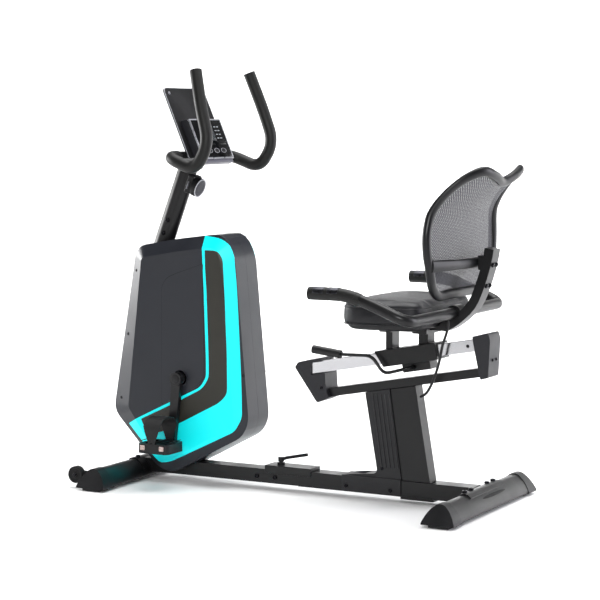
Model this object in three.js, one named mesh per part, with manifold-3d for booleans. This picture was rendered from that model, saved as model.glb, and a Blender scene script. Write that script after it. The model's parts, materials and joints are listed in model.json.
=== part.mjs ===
// A recumbent magnetic exercise bike.
// Millimetres, +Z up, +X towards the rear (the seat), -Y on the rider's left.
// Inside the bike group X = 0 is the rear stabiliser's centreline, Y = 0 the middle and Z = 0 the floor.
// The group is then moved so that the origin lies under the middle of the whole bike.

import * as THREE from 'three';
import { mergeVertices } from 'three/addons/utils/BufferGeometryUtils.js';
import Module from 'manifold-3d';

const wasm = await Module();
wasm.setup();

// ---------------------------------------------------------------- driving dimensions

const fit = 0.3; // gap between a piece and what it rests on or is cut by
const running = 0.6; // gap between a piece and what it moves past

const wheelbase = 1028; // between the two stabilisers
const frontX = -wheelbase;

const stabiliser = { halfLength: 250, halfWidth: 42, base: 10, top: 57, wall: 2.5 };
const cap = { overlap: 28, beyond: 27, lean: 20, skin: 2.5, footHalf: 27, footInner: -22, footOuter: 20 };
const wheel = { radius: 23, width: 18, middleY: stabiliser.halfLength - 7, bore: 4.5, ahead: 64, height: 37 };

const beam = { halfWidth: 25, wall: 2.5, frontBase: 19, frontTop: 57, rearBase: 18, rearTop: 60, seam: -523 };
const sleeve = { front: -624, rear: -483, skin: 3, skirt: 14, height: 8.5 };
const clamp = { x: -588, rise: 18, armEnd: -507, armHeight: 102, stem: 5.5, arm: 4.5 };

const column = { halfWidth: 22, wall: 2.5, baseFront: -215, baseRear: -135, topFront: -250, topRear: -178 };
const columnCover = { halfWidth: 25, depth: 72, flare: 102, flareHeight: 26, wall: 3, skirtBase: 22 };

const railSlope = THREE.MathUtils.degToRad(10.4);
const rail = { x: -481, z: 359, halfWidth: 30, height: 32, start: -28, end: 504, wall: 3 };
const seatBeam = { halfWidth: 20, height: 23, drop: 76.4, start: -6, end: 495, wall: 2.5 };
const railCover = { halfWidth: 35 };

const housing = { edgeY: 57, faceY: 78, wall: 3, bevelInset: 34, cornerRadius: 40 };
const mast = { lean: THREE.MathUtils.degToRad(21.1), depth: 56, width: 42, wall: 2.5, x: -957, z: 668 };
const post = { depth: 46, width: 32, wall: 3, baseX: -938, kneeX: -990, kneeZ: 582, topZ: 752 };
const plate = { inner: 20.5, thickness: 4 };

const crank = { x: -861, z: 297, length: 176, spindle: 8.5, armInner: 86, armOuter: 100, hub: 18, eye: 14 };
const crankLean = THREE.MathUtils.degToRad(5.8);
const pedal = { inner: 108, width: 88, length: 96, top: 7, bottom: -19, axle: 6, bush: 11, weight: 10 };
const strap = { rise: 76, width: 46, thickness: 2.2 };
const drive = { pulley: 110, pinion: 16, beltY: 36, beltWidth: 12, beltThickness: 3 };
const flywheel = { x: -840, z: 530, radius: 104, halfWidth: 9, axle: 6 };
const magnet = { gap: 3.5, thickness: 8, halfWidth: 14, fromAngle: -50, toAngle: 15, pivotAngle: -66 };
const idler = { radius: 13, x: -944, z: 428, armX: -968, armZ: 372 };

const bar = { radius: 14, foam: 16.5, wall: 2, foamStart: 118, endWall: 5 };
const handlebar = { x: -842, z: 903, cornerY: 168 };
const consoleLean = THREE.MathUtils.degToRad(23.4);
const consoleBase = { x: -812, z: 899 };
const tablet = { halfWidth: 105, height: 206, thickness: 5, corner: 16 };
const meter = { halfWidth: 79.5, depth: 28, bottom: -12, top: 101 };
const screen = { halfWidth: 66, bottom: 27, top: 93, proud: 0.8, recess: 2 };
const button = { halfWidth: 11, halfHeight: 4.5, pitch: 36, height: 8, proud: 2.5, recess: 4 };
const knob = { radius: 27, thickness: 17, z: 838, baseThickness: 10, base: 23 };

const carriage = { front: 195, rear: 372, halfWidth: 40, above: 4.5, below: 7.5, slant: 20 };
const seatPost = { halfWidth: 22, front: [-264, -245], rear: [-170, -143], top: 452 };
const crossBracket = { halfWidth: 47, overhang: 7, top: 467.7 };
const latch = { front: 262, rear: 342, halfWidth: 24, drop: 30 };
const cushion = { front: -330, rear: -100, frontHalf: 190, rearHalf: 176, frontRadius: 62, rearRadius: 30 };
const pan = { base: 468, top: 494, skin: 3.5 };
const cushionTop = 537;
const seatBar = { halfSpan: 299, x: -72, z: 508, radius: 14.5, wall: 2, height: 570 };
const seatGrip = { front: -342, rear: -214, radius: 17, endWall: 5 };
const backBracket = { halfWidth: 22.5, base: 461, depth: 25 };
const backBracketFront = -235;
const back = { rimHalf: 13, rimDepth: 11.5, mesh: 1.2, lumbarZ: 640, lumbarHalf: 13, lumbarDepth: 6 };

const toRad = THREE.MathUtils.degToRad;

// ---------------------------------------------------------------- finishes

function finish(color, roughness, metalness = 0) {
  return new THREE.MeshStandardMaterial({ color, roughness, metalness });
}

const finishes = {
  paint: () => finish(0x15161a, 0.45, 0.2),
  plastic: () => finish(0x1c1d20, 0.6),
  shell: () => finish(0x34353f, 0.42),
  coverGrey: () => finish(0x2b2c30, 0.65),
  aluminium: () => finish(0xb9bcc0, 0.3, 1),
  steel: () => finish(0x9a9ca0, 0.35, 1),
  iron: () => finish(0x4a4c50, 0.6, 0.8),
  rubber: () => finish(0x101011, 0.85),
  foam: () => finish(0x131314, 0.9),
  leather: () => finish(0x1b1b1f, 0.5),
  mesh: () => finish(0x55565c, 0.8),
  glass: () => finish(0x08090b, 0.1),
  silver: () => finish(0xa8aab0, 0.35, 0.6),
};

// ---------------------------------------------------------------- shape helpers

// A closed geometry as a solid that can be joined and cut.
function solidOf(geometry) {
  const bare = geometry.clone();
  bare.deleteAttribute('normal');
  bare.deleteAttribute('uv');
  const merged = mergeVertices(bare, 1e-4);
  return new wasm.Manifold(new wasm.Mesh({
    numProp: 3,
    vertProperties: Float32Array.from(merged.attributes.position.array),
    triVerts: Uint32Array.from(merged.index.array),
  }));
}

function geometryOf(solid) {
  const mesh = solid.getMesh();
  const geometry = new THREE.BufferGeometry();
  geometry.setAttribute('position', new THREE.BufferAttribute(mesh.vertProperties, 3));
  geometry.setIndex(new THREE.BufferAttribute(mesh.triVerts, 1));
  geometry.computeVertexNormals();
  return geometry;
}

function join(...geometries) {
  return geometryOf(geometries.map(solidOf).reduce((sum, next) => sum.add(next)));
}

function cut(geometry, ...tools) {
  return geometryOf(tools.map(solidOf).reduce((rest, tool) => rest.subtract(tool), solidOf(geometry)));
}

function overlapOf(first, second) {
  return geometryOf(solidOf(first).intersect(solidOf(second)));
}

function block(x0, x1, y0, y1, z0, z1) {
  const geometry = new THREE.BoxGeometry(x1 - x0, y1 - y0, z1 - z0);
  return geometry.translate((x0 + x1) / 2, (y0 + y1) / 2, (z0 + z1) / 2);
}

// A round bar whose axis runs along Y.
function discY(radius, y0, y1, x = 0, z = 0, sides = 24) {
  return new THREE.CylinderGeometry(radius, radius, y1 - y0, sides).translate(x, (y0 + y1) / 2, z);
}

// A round bar whose axis runs along Z.
function discZ(radius, z0, z1, x = 0, y = 0, sides = 20) {
  const geometry = new THREE.CylinderGeometry(radius, radius, z1 - z0, sides).rotateX(Math.PI / 2);
  return geometry.translate(x, y, (z0 + z1) / 2);
}

function ringY(radius, bore, y0, y1, x = 0, z = 0, sides = 28) {
  const shape = new THREE.Shape().absarc(0, 0, radius, 0, Math.PI * 2);
  shape.holes.push(new THREE.Path().absarc(0, 0, bore, 0, Math.PI * 2, true));
  return extrudeY(shape, y0, y1, sides / 2).translate(x, 0, z);
}

function outline(points) {
  return new THREE.Shape(points.map(([x, y]) => new THREE.Vector2(x, y)));
}

// The outline with each corner rounded; a corner is [x, y, radius].
function roundedOutline(corners) {
  const shape = new THREE.Shape();
  const count = corners.length;
  corners.forEach(([x, y, radius], index) => {
    const corner = new THREE.Vector2(x, y);
    const before = new THREE.Vector2(...corners[(index + count - 1) % count]).sub(corner);
    const after = new THREE.Vector2(...corners[(index + 1) % count]).sub(corner);
    const reach = Math.min(radius, before.length() * 0.48, after.length() * 0.48);
    const entry = corner.clone().add(before.setLength(reach));
    const exit = corner.clone().add(after.setLength(reach));
    if (index === 0) shape.moveTo(entry.x, entry.y);
    else shape.lineTo(entry.x, entry.y);
    shape.quadraticCurveTo(x, y, exit.x, exit.y);
  });
  return shape;
}

// An outline drawn in X and Z, extruded along Y.
function extrudeY(shape, y0, y1, curveSegments = 4, bevel = {}) {
  const options = { depth: y1 - y0, bevelEnabled: false, curveSegments, ...bevel };
  return new THREE.ExtrudeGeometry(shape, options).rotateX(Math.PI / 2).translate(0, y1, 0);
}

// An outline drawn in X and Y, extruded along Z.
function extrudeZ(shape, z0, z1, curveSegments = 4, bevel = {}) {
  const options = { depth: z1 - z0, bevelEnabled: false, curveSegments, ...bevel };
  return new THREE.ExtrudeGeometry(shape, options).translate(0, 0, z0);
}

// An outline drawn in Y and Z, extruded along X.
function extrudeX(shape, x0, x1, curveSegments = 4) {
  const geometry = new THREE.ExtrudeGeometry(shape, { depth: x1 - x0, bevelEnabled: false, curveSegments });
  const turn = new THREE.Matrix4().makeBasis(
    new THREE.Vector3(0, 1, 0),
    new THREE.Vector3(0, 0, 1),
    new THREE.Vector3(1, 0, 0),
  );
  return geometry.applyMatrix4(turn).translate(x0, 0, 0);
}

// A rectangular tube along X, open at both ends.
function boxTube(x0, x1, halfWidth, z0, z1, wall) {
  const shape = outline([[-halfWidth, z0], [halfWidth, z0], [halfWidth, z1], [-halfWidth, z1]]);
  const inner = halfWidth - wall;
  shape.holes.push(outline([[-inner, z0 + wall], [-inner, z1 - wall], [inner, z1 - wall], [inner, z0 + wall]]));
  return extrudeX(shape, x0, x1);
}

// Straight runs joined by bends; a corner is [x, y, z, bend length].
function bentPath(corners) {
  const points = corners.map(([x, y, z]) => new THREE.Vector3(x, y, z));
  const path = new THREE.CurvePath();
  let from = points[0];
  for (let index = 1; index < points.length - 1; index += 1) {
    const corner = points[index];
    const reach = corners[index][3];
    const entry = corner.clone().add(points[index - 1].clone().sub(corner).setLength(reach));
    const exit = corner.clone().add(points[index + 1].clone().sub(corner).setLength(reach));
    path.add(new THREE.LineCurve3(from, entry));
    path.add(new THREE.QuadraticBezierCurve3(entry, corner, exit));
    from = exit;
  }
  path.add(new THREE.LineCurve3(from, points[points.length - 1]));
  return path;
}

function roundSection(radius, bore, sides) {
  const ring = (size) => Array.from({ length: sides }, (_, index) => {
    const angle = (index / sides) * Math.PI * 2;
    return new THREE.Vector2(size * Math.cos(angle), size * Math.sin(angle));
  });
  const shape = new THREE.Shape(ring(radius));
  if (bore > 0) shape.holes.push(new THREE.Path(ring(bore).reverse()));
  return shape;
}

function tubeAlong(path, radius, bore, steps, sides = 12) {
  return new THREE.ExtrudeGeometry(roundSection(radius, bore, sides), {
    steps,
    bevelEnabled: false,
    extrudePath: path,
  });
}

// Moves every vertex of a geometry by a rule.
function reshape(geometry, rule) {
  const position = geometry.attributes.position;
  const point = new THREE.Vector3();
  for (let index = 0; index < position.count; index += 1) {
    point.fromBufferAttribute(position, index);
    const moved = rule(point);
    position.setXYZ(index, moved.x, moved.y, moved.z);
  }
  geometry.computeVertexNormals();
  return geometry;
}

const bike = new THREE.Group();

function add(name, geometry, material, parent = bike) {
  const mesh = new THREE.Mesh(geometry, material);
  mesh.name = name;
  parent.add(mesh);
  return mesh;
}

const sides = [['left', -1], ['right', 1]];

// ---------------------------------------------------------------- stabilisers, end caps and wheels

// A low ridge with rounded shoulders: the section of both stabilisers.
function archOutline(halfWidth, base, top) {
  const shape = new THREE.Shape();
  const height = top - base;
  shape.moveTo(-halfWidth, base);
  shape.lineTo(halfWidth, base);
  shape.lineTo(halfWidth, base + 6);
  shape.quadraticCurveTo(halfWidth * 0.7, base + height * 0.72, halfWidth * 0.26, top - height * 0.05);
  shape.quadraticCurveTo(halfWidth * 0.12, top, 0, top);
  shape.quadraticCurveTo(-halfWidth * 0.12, top, -halfWidth * 0.26, top - height * 0.05);
  shape.quadraticCurveTo(-halfWidth * 0.7, base + height * 0.72, -halfWidth, base + 6);
  return shape;
}

function arch(grow, y0, y1) {
  const { halfWidth, base, top } = stabiliser;
  return extrudeY(archOutline(halfWidth + grow, base - Math.max(grow, 0), top + grow), y0, y1);
}

function stabiliserTube() {
  const { halfLength, wall, halfWidth, base, top } = stabiliser;
  const shape = archOutline(halfWidth, base, top);
  shape.holes.push(archOutline(halfWidth - wall, base + wall, top - wall));
  return extrudeY(shape, -halfLength, halfLength);
}

// An end cap: a sleeve over the tube's end, closed by a face that leans inwards.
function endCap(side, hasWheel, x) {
  const { overlap, beyond, lean, skin, footHalf, footInner, footOuter } = cap;
  const { base, top, halfLength } = stabiliser;
  const inner = halfLength - overlap;
  const outer = halfLength + beyond;
  const height = top + skin - base;
  const leaning = new THREE.BoxGeometry(400, 100, 400).translate(0, 50, 0).rotateX(Math.atan2(lean, height));
  const trimmed = cut(arch(skin, inner, outer), leaning.translate(0, outer, base - skin));
  const foot = block(-footHalf, footHalf, halfLength + footInner, halfLength + footOuter, 0, base + 6);
  const pieces = [trimmed, foot];
  if (hasWheel) {
    const earIn = wheel.middleY - wheel.width / 2 - running;
    const pin = wheel.bore - running;
    pieces.push(extrudeY(roundedOutline([
      [-30, 18, 2], [-wheel.ahead - 12, 24, 6], [-wheel.ahead - 12, 48, 6], [-30, 46, 2],
    ]), earIn - 6, earIn));
    pieces.push(discY(pin, earIn - 1, wheel.middleY + wheel.width / 2 + 3, -wheel.ahead, wheel.height, 16));
  }
  let geometry = cut(join(...pieces), arch(fit, inner - 40, halfLength + fit));
  if (hasWheel) {
    const room = wheel.radius + 2;
    const low = wheel.middleY - wheel.width / 2 - running;
    const well = ringY(room, wheel.bore - running, low, outer + 40, -wheel.ahead, wheel.height, 24);
    geometry = cut(geometry, overlapOf(well, block(-200, 0, low, wheel.middleY + wheel.width / 2 + 2, 0, 100)));
  }
  if (side < 0) {
    geometry = geometryOf(solidOf(geometry).mirror([0, 1, 0]));
  }
  return geometry.translate(x, 0, 0);
}

add('front_stabiliser', stabiliserTube().translate(frontX, 0, 0), finishes.paint());
add('rear_stabiliser', stabiliserTube(), finishes.paint());

for (const [name, side] of sides) {
  add(`front_end_cap_${name}`, endCap(side, true, frontX), finishes.plastic());
  add(`rear_end_cap_${name}`, endCap(side, false, 0), finishes.plastic());
  const { radius, width, bore, middleY, ahead, height } = wheel;
  const tyre = ringY(radius, bore, -width / 2, width / 2, 0, 0, 28);
  const roller = add(`transport_wheel_${name}`, tyre, finishes.rubber());
  roller.position.set(frontX - ahead, side * middleY, height);
}

// ---------------------------------------------------------------- base beam

// A saddle plate over one side of a stabiliser, welded to the beam's end.
function saddle(x, side, halfWidth, thickness) {
  const plateSolid = arch(fit + thickness, -halfWidth, halfWidth);
  const trim = side > 0 ? block(-200, -14, -400, 400, -50, 200) : block(20, 200, -400, 400, -50, 200);
  return cut(plateSolid, trim, block(-200, 200, -400, 400, -50, beam.frontBase + 8)).translate(x, 0, 0);
}

const saddlePlate = { thickness: 3.5, frontHalf: 60, rearHalf: 112 };

const frontBeamStart = frontX + 12;
const frontBeamTube = boxTube(frontBeamStart, beam.seam, beam.halfWidth, beam.frontBase, beam.frontTop, beam.wall);
add('front_beam', cut(
  join(frontBeamTube, saddle(frontX, 1, saddlePlate.frontHalf, saddlePlate.thickness)),
  arch(fit, -300, 300).translate(frontX, 0, 0),
), finishes.paint());

const rearBeamTube = boxTube(beam.seam + fit, -12, beam.halfWidth, beam.rearBase, beam.rearTop, beam.wall);
const columnShoe = block(column.topFront + 33, column.baseRear + 13, -27, 27, beam.rearBase - 6, beam.rearBase + 2);
add('rear_beam', cut(
  join(rearBeamTube, columnShoe, saddle(0, -1, saddlePlate.rearHalf, saddlePlate.thickness)),
  arch(fit, -300, 300),
), finishes.paint());

const sleeveInnerTop = beam.rearTop + fit;
const sleeveInner = beam.halfWidth + fit;
const sleeveTop = sleeveInnerTop + sleeve.height;
add('beam_sleeve', cut(
  block(
    sleeve.front, sleeve.rear,
    -sleeveInner - sleeve.skin, sleeveInner + sleeve.skin,
    sleeveInnerTop - sleeve.skirt, sleeveTop,
  ),
  block(sleeve.front - 1, sleeve.rear + 1, -sleeveInner, sleeveInner, 0, sleeveInnerTop),
), finishes.paint());

const clampTop = sleeveTop + clamp.rise;
const clampPath = bentPath([
  [clamp.x, 0, clampTop - 6, 0],
  [clamp.x + 14, 0, clampTop + 1, 8],
  [clamp.armEnd, 0, clamp.armHeight, 0],
]);
add('clamp_lever', join(
  discZ(clamp.stem, sleeveTop + fit, clampTop, clamp.x, 0),
  discZ(clamp.stem + 5, sleeveTop + fit, sleeveTop + 6, clamp.x, 0),
  discZ(clamp.stem + 3, sleeveTop + 9, clampTop + 2, clamp.x, 0),
  tubeAlong(clampPath, clamp.arm, 0, 10, 10),
), finishes.plastic());

// ---------------------------------------------------------------- seat column and rail

function alongRail(geometry) {
  return geometry.rotateY(-railSlope).translate(rail.x, 0, rail.z);
}

// Height of a line parallel to the rail, a given distance below its top face.
function railHeight(x, drop) {
  return rail.z + (x - rail.x) * Math.tan(railSlope) - drop / Math.cos(railSlope);
}

const beamTop = seatBeam.drop;
const beamBottom = seatBeam.drop + seatBeam.height;
const columnBase = beam.rearTop + fit;

function columnOutline(wall, reach) {
  const lean = (column.topFront - column.baseFront) / (railHeight(column.topFront, beamBottom) - columnBase);
  const topZ = (x) => railHeight(x, beamBottom + fit) + reach;
  return outline([
    [column.baseFront + wall - lean * reach, columnBase - reach],
    [column.baseRear - wall - lean * reach, columnBase - reach],
    [column.topRear - wall + lean * reach, topZ(column.topRear - wall)],
    [column.topFront + wall + lean * reach, topZ(column.topFront + wall)],
  ]);
}

add('seat_column', cut(
  extrudeY(columnOutline(0, 0), -column.halfWidth, column.halfWidth),
  extrudeY(columnOutline(column.wall, 5), -column.halfWidth + column.wall, column.halfWidth - column.wall),
), finishes.paint());

// The cover's front runs down parallel to the column, then sweeps forward along the beam.
function columnCoverOutline(wall, reach) {
  const { depth, flare, flareHeight } = columnCover;
  const topFront = column.topFront - depth + wall;
  const footFront = column.baseFront - depth + wall;
  const topZ = (x) => railHeight(x, beamBottom + fit) - wall;
  const shape = new THREE.Shape();
  shape.moveTo(column.baseFront - fit + reach, columnBase + wall);
  shape.lineTo(column.topFront - fit + reach, topZ(column.topFront));
  shape.lineTo(topFront, topZ(topFront));
  shape.lineTo(footFront, columnBase + flareHeight);
  shape.quadraticCurveTo(footFront + 2, columnBase + 13, footFront - 14, columnBase + 12);
  shape.quadraticCurveTo(footFront - flare * 0.5, columnBase + 10, footFront - flare + wall, columnBase + wall + 2);
  shape.lineTo(footFront - flare + wall, columnBase + wall);
  return shape;
}

// A skirt folds down over both sides of the beam.
const coverInner = columnCover.halfWidth - columnCover.wall;
const skirtInner = beam.halfWidth + fit;
const skirtOuter = skirtInner + columnCover.wall;
const skirtFront = column.baseFront - columnCover.depth - columnCover.flare;
const skirtRear = column.baseFront - fit - 1;
const coverShell = cut(
  extrudeY(columnCoverOutline(0, 0), -columnCover.halfWidth, columnCover.halfWidth),
  extrudeY(columnCoverOutline(columnCover.wall, 10), -coverInner, coverInner),
);
const coverSkirt = cut(
  block(skirtFront, skirtRear, -skirtOuter, skirtOuter, columnCover.skirtBase, columnBase + columnCover.wall),
  block(skirtFront - 1, skirtRear + 1, -skirtInner, skirtInner, 0, columnBase),
);
add('column_cover', join(coverShell, coverSkirt), finishes.coverGrey());

add('seat_rail', alongRail(boxTube(rail.start, rail.end, rail.halfWidth, -rail.height, 0, rail.wall)),
  finishes.aluminium());
add('seat_support_beam', alongRail(boxTube(
  seatBeam.start, seatBeam.end, seatBeam.halfWidth, -beamBottom, -beamTop, seatBeam.wall,
)), finishes.paint());

// The end covers are moulded caps that hold the ends of the rail and of the beam below it.
function railSockets() {
  const span = [rail.start - fit, rail.end + fit];
  const railRoom = rail.halfWidth + fit;
  const beamRoom = seatBeam.halfWidth + fit;
  return [
    alongRail(block(...span, -railRoom, railRoom, -rail.height - fit, fit)),
    alongRail(block(seatBeam.start - fit, seatBeam.end + fit, -beamRoom, beamRoom, -beamBottom - fit, -beamTop + fit)),
  ];
}

const frontCoverOutline = roundedOutline([
  [-527, 343, 4], [-517, 357, 5], [-446, railHeight(-446, -7), 2], [-446, railHeight(-446, 3), 1],
  [-478, railHeight(-478, 3), 1], [-478, railHeight(-478, 34), 1], [-436, railHeight(-436, 34), 3],
  [-434, 290, 8], [-424, 266, 3], [-460, 251, 5],
]);
add('rail_cover_front', cut(
  extrudeY(frontCoverOutline, -railCover.halfWidth, railCover.halfWidth, 3),
  ...railSockets(),
), finishes.plastic());

const rearCoverOutline = roundedOutline([
  [10, 342, 4], [31, 348, 4], [36, 445, 8], [30, 463, 6], [-14, railHeight(-14, -7), 2], [-6, 410, 8], [6, 355, 4],
]);
add('rail_cover_rear', cut(
  extrudeY(rearCoverOutline, -railCover.halfWidth, railCover.halfWidth, 3),
  ...railSockets(),
), finishes.plastic());

// ---------------------------------------------------------------- mast, post and drive frame

const mastTan = Math.tan(mast.lean);
const mastX = (z) => mast.x + (z - mast.z) * mastTan;
const mastTop = 884;
const mastFoot = 604;

// An oval; with a wall it is a tube's section, without one it is solid.
function ovalSection(depth, width, wall, segments = 12) {
  const ring = (a, b) => Array.from({ length: segments }, (_, index) => {
    const angle = (index / segments) * Math.PI * 2;
    return new THREE.Vector2(a * Math.cos(angle), b * Math.sin(angle));
  });
  const shape = new THREE.Shape(ring(depth / 2, width / 2));
  if (wall > 0) shape.holes.push(new THREE.Path(ring(depth / 2 - wall, width / 2 - wall).reverse()));
  return shape;
}

// A straight oval tube in the XZ plane between two heights, square-cut at each end.
function ovalTube(section, x0, z0, x1, z1) {
  const length = Math.hypot(x1 - x0, z1 - z0);
  const tube = new THREE.ExtrudeGeometry(section, { depth: length, bevelEnabled: false });
  return tube.rotateY(Math.atan2(x1 - x0, z1 - z0)).translate(x0, 0, z0);
}

const postOval = ovalSection(post.depth, post.width, post.wall);
const postLower = ovalTube(postOval, post.baseX, beam.frontTop + fit + 4, post.kneeX, post.kneeZ);
const postUpper = ovalTube(postOval, mastX(post.kneeZ - 14), post.kneeZ - 14, mastX(post.topZ), post.topZ);
const postFoot = block(post.baseX - 18, post.baseX + 34, -24, 24, beam.frontTop + fit, beam.frontTop + fit + 8);
add('frame_post', join(postLower, postUpper, postFoot), finishes.paint());

const barHole = discY(bar.radius + fit, -80, 80, handlebar.x, handlebar.z, 20);
const clampBlock = discY(bar.radius + 6, -26, 26, handlebar.x, handlebar.z, 20);
const mastTube = ovalTube(
  ovalSection(mast.depth, mast.width, mast.wall, 20), mastX(mastFoot), mastFoot, mastX(mastTop), mastTop,
);
const mastCrown = extrudeY(roundedOutline([
  [mastX(mastTop) - 24, mastTop - 14, 3], [mastX(mastTop) + 26, mastTop - 18, 3],
  [handlebar.x + 20, handlebar.z + 4, 3], [handlebar.x - 4, handlebar.z + 22, 3],
  [handlebar.x - 30, handlebar.z + 12, 3],
]), -20, 20);

// The tablet rest and the console stand in this leaning frame, with X along their facing direction.
const consoleFrame = new THREE.Matrix4().makeRotationY(-consoleLean);
consoleFrame.setPosition(consoleBase.x, 0, consoleBase.z);
const consoleBracket = block(-tablet.thickness - 22, -tablet.thickness - fit, -24, 24, 8, 46);
consoleBracket.applyMatrix4(consoleFrame);
add('handlebar_post', cut(
  join(mastTube, mastCrown, clampBlock, consoleBracket),
  barHole,
), finishes.paint());

const handlebarCorners = [
  [-766, -143, 1127, 0],
  [-738, -165, 1035, 30],
  [-708, -176, 938, 42],
  [-752, -174, 868, 34],
  [handlebar.x, -handlebar.cornerY, handlebar.z, 40],
];
// A bar that mirrors across the middle, its two ends lengthened by a distance.
function mirroredTube(corners, radius, bore, steps, longer = 0) {
  const [first, second] = corners.map(([x, y, z]) => new THREE.Vector3(x, y, z));
  const end = first.clone().add(first.clone().sub(second).setLength(longer));
  const half = [[...end.toArray(), 0], ...corners.slice(1)];
  const otherHalf = half.map(([x, y, z, reach]) => [x, -y, z, reach]).reverse();
  return tubeAlong(bentPath([...half, ...otherHalf]), radius, bore, steps, 10);
}

const barTube = (radius, bore, longer) => mirroredTube(handlebarCorners, radius, bore, 40, longer);
add('handlebar', barTube(bar.radius, bar.radius - bar.wall), finishes.steel());

// Foam sleeves cover each arm of the bar from the cross tube to its closed end.
const foamSleeves = cut(barTube(bar.foam, 0, bar.endWall), barTube(bar.radius + fit, 0, fit));
for (const [name, side] of sides) {
  const arm = side < 0 ? block(-1200, 0, -400, -bar.foamStart, 0, 2000) : block(-1200, 0, bar.foamStart, 400, 0, 2000);
  add(`handlebar_foam_${name}`, overlapOf(foamSleeves, arm), finishes.foam());
}

// ---------------------------------------------------------------- tension knob

const knobFrame = new THREE.Group();
knobFrame.position.set(mastX(knob.z), 0, knob.z);
knobFrame.rotation.y = mast.lean;
bike.add(knobFrame);

const knobFace = mast.depth / 2 + fit;
const knobSeat = knobFace + knob.baseThickness;
add('tension_knob_base', cut(
  block(knobFace - 8, knobSeat, -knob.base, knob.base, -knob.base - 4, knob.base),
  new THREE.ExtrudeGeometry(ovalSection(mast.depth + 2 * fit, mast.width + 2 * fit, 0, 20), {
    depth: 120,
    bevelEnabled: false,
  }).translate(0, 0, -60),
), finishes.plastic(), knobFrame);

const knobProfile = [
  [0, 0], [knob.radius, 0], [knob.radius, knob.thickness - 4], [knob.radius - 3, knob.thickness],
  [knob.radius - 8, knob.thickness], [knob.radius - 10, knob.thickness - 3], [0, knob.thickness - 3],
].map(([x, y]) => new THREE.Vector2(x, y));
const knobTurned = new THREE.LatheGeometry(knobProfile, 28).rotateZ(-Math.PI / 2);
add('tension_knob', knobTurned.translate(knobSeat + fit, 0, -4), finishes.plastic(), knobFrame);

// ---------------------------------------------------------------- console and tablet rest

const consoleGroup = new THREE.Group();
consoleGroup.position.set(consoleBase.x, 0, consoleBase.z);
consoleGroup.rotation.y = -consoleLean;
bike.add(consoleGroup);

const tabletPlate = extrudeX(roundedOutline([
  [-tablet.halfWidth, 0, tablet.corner], [tablet.halfWidth, 0, tablet.corner],
  [tablet.halfWidth, tablet.height, tablet.corner], [-tablet.halfWidth, tablet.height, tablet.corner],
]), -tablet.thickness, 0);
add('tablet_rest', tabletPlate, finishes.plastic(), consoleGroup);

const meterBody = extrudeY(roundedOutline([
  [fit, meter.bottom - 4, 2], [13, meter.bottom - 13, 3], [meter.depth, meter.bottom, 3],
  [meter.depth, meter.top, 5], [fit, meter.top + 8, 4],
]), -meter.halfWidth, meter.halfWidth, 3);
const screenRoom = block(
  meter.depth - screen.recess, meter.depth + 5,
  -screen.halfWidth - fit, screen.halfWidth + fit, screen.bottom - fit, screen.top + fit,
);
const buttonRooms = [-1, 0, 1].map((place) => block(
  meter.depth - button.recess, meter.depth + 5,
  place * button.pitch - button.halfWidth - running, place * button.pitch + button.halfWidth + running,
  button.height - button.halfHeight - running, button.height + button.halfHeight + running,
));
add('console_body', cut(meterBody, screenRoom, ...buttonRooms), finishes.silver(), consoleGroup);
add('console_screen', block(
  meter.depth - screen.recess + fit, meter.depth + screen.proud,
  -screen.halfWidth, screen.halfWidth, screen.bottom, screen.top,
), finishes.glass(), consoleGroup);
['left', 'middle', 'right'].forEach((name, index) => {
  const key = block(
    0, button.proud + 2, -button.halfWidth, button.halfWidth, -button.halfHeight, button.halfHeight,
  );
  const mesh = add(`console_button_${name}`, key, finishes.plastic(), consoleGroup);
  mesh.position.set(meter.depth - 2, (index - 1) * button.pitch, button.height);
});

// ---------------------------------------------------------------- drive housing

// The casing's outline at its edge, seen from the side, with its bends.
const housingCorners = [
  [-1092, 192, 26], [-948, 40, 26], [-900, 28, 22], [-678, 144, 22], [-657, 185, 24],
  [-699, 640, 40], [-735, 696, 34], [-880, 678, 60], [-1000, 656, 24], [-1018, 630, 22],
];

// The same outline drawn in by a distance, corner by corner.
function inset(corners, distance) {
  const count = corners.length;
  return corners.map(([x, y, radius], index) => {
    const here = new THREE.Vector2(x, y);
    const before = here.clone().sub(new THREE.Vector2(...corners[(index + count - 1) % count])).normalize();
    const after = new THREE.Vector2(...corners[(index + 1) % count]).sub(here).normalize();
    const inward = new THREE.Vector2(-before.y - after.y, before.x + after.x);
    const scale = distance / (1 + before.dot(after));
    return [x + inward.x * scale, y + inward.y * scale, Math.max(radius - distance * 0.4, 4)];
  });
}

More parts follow.
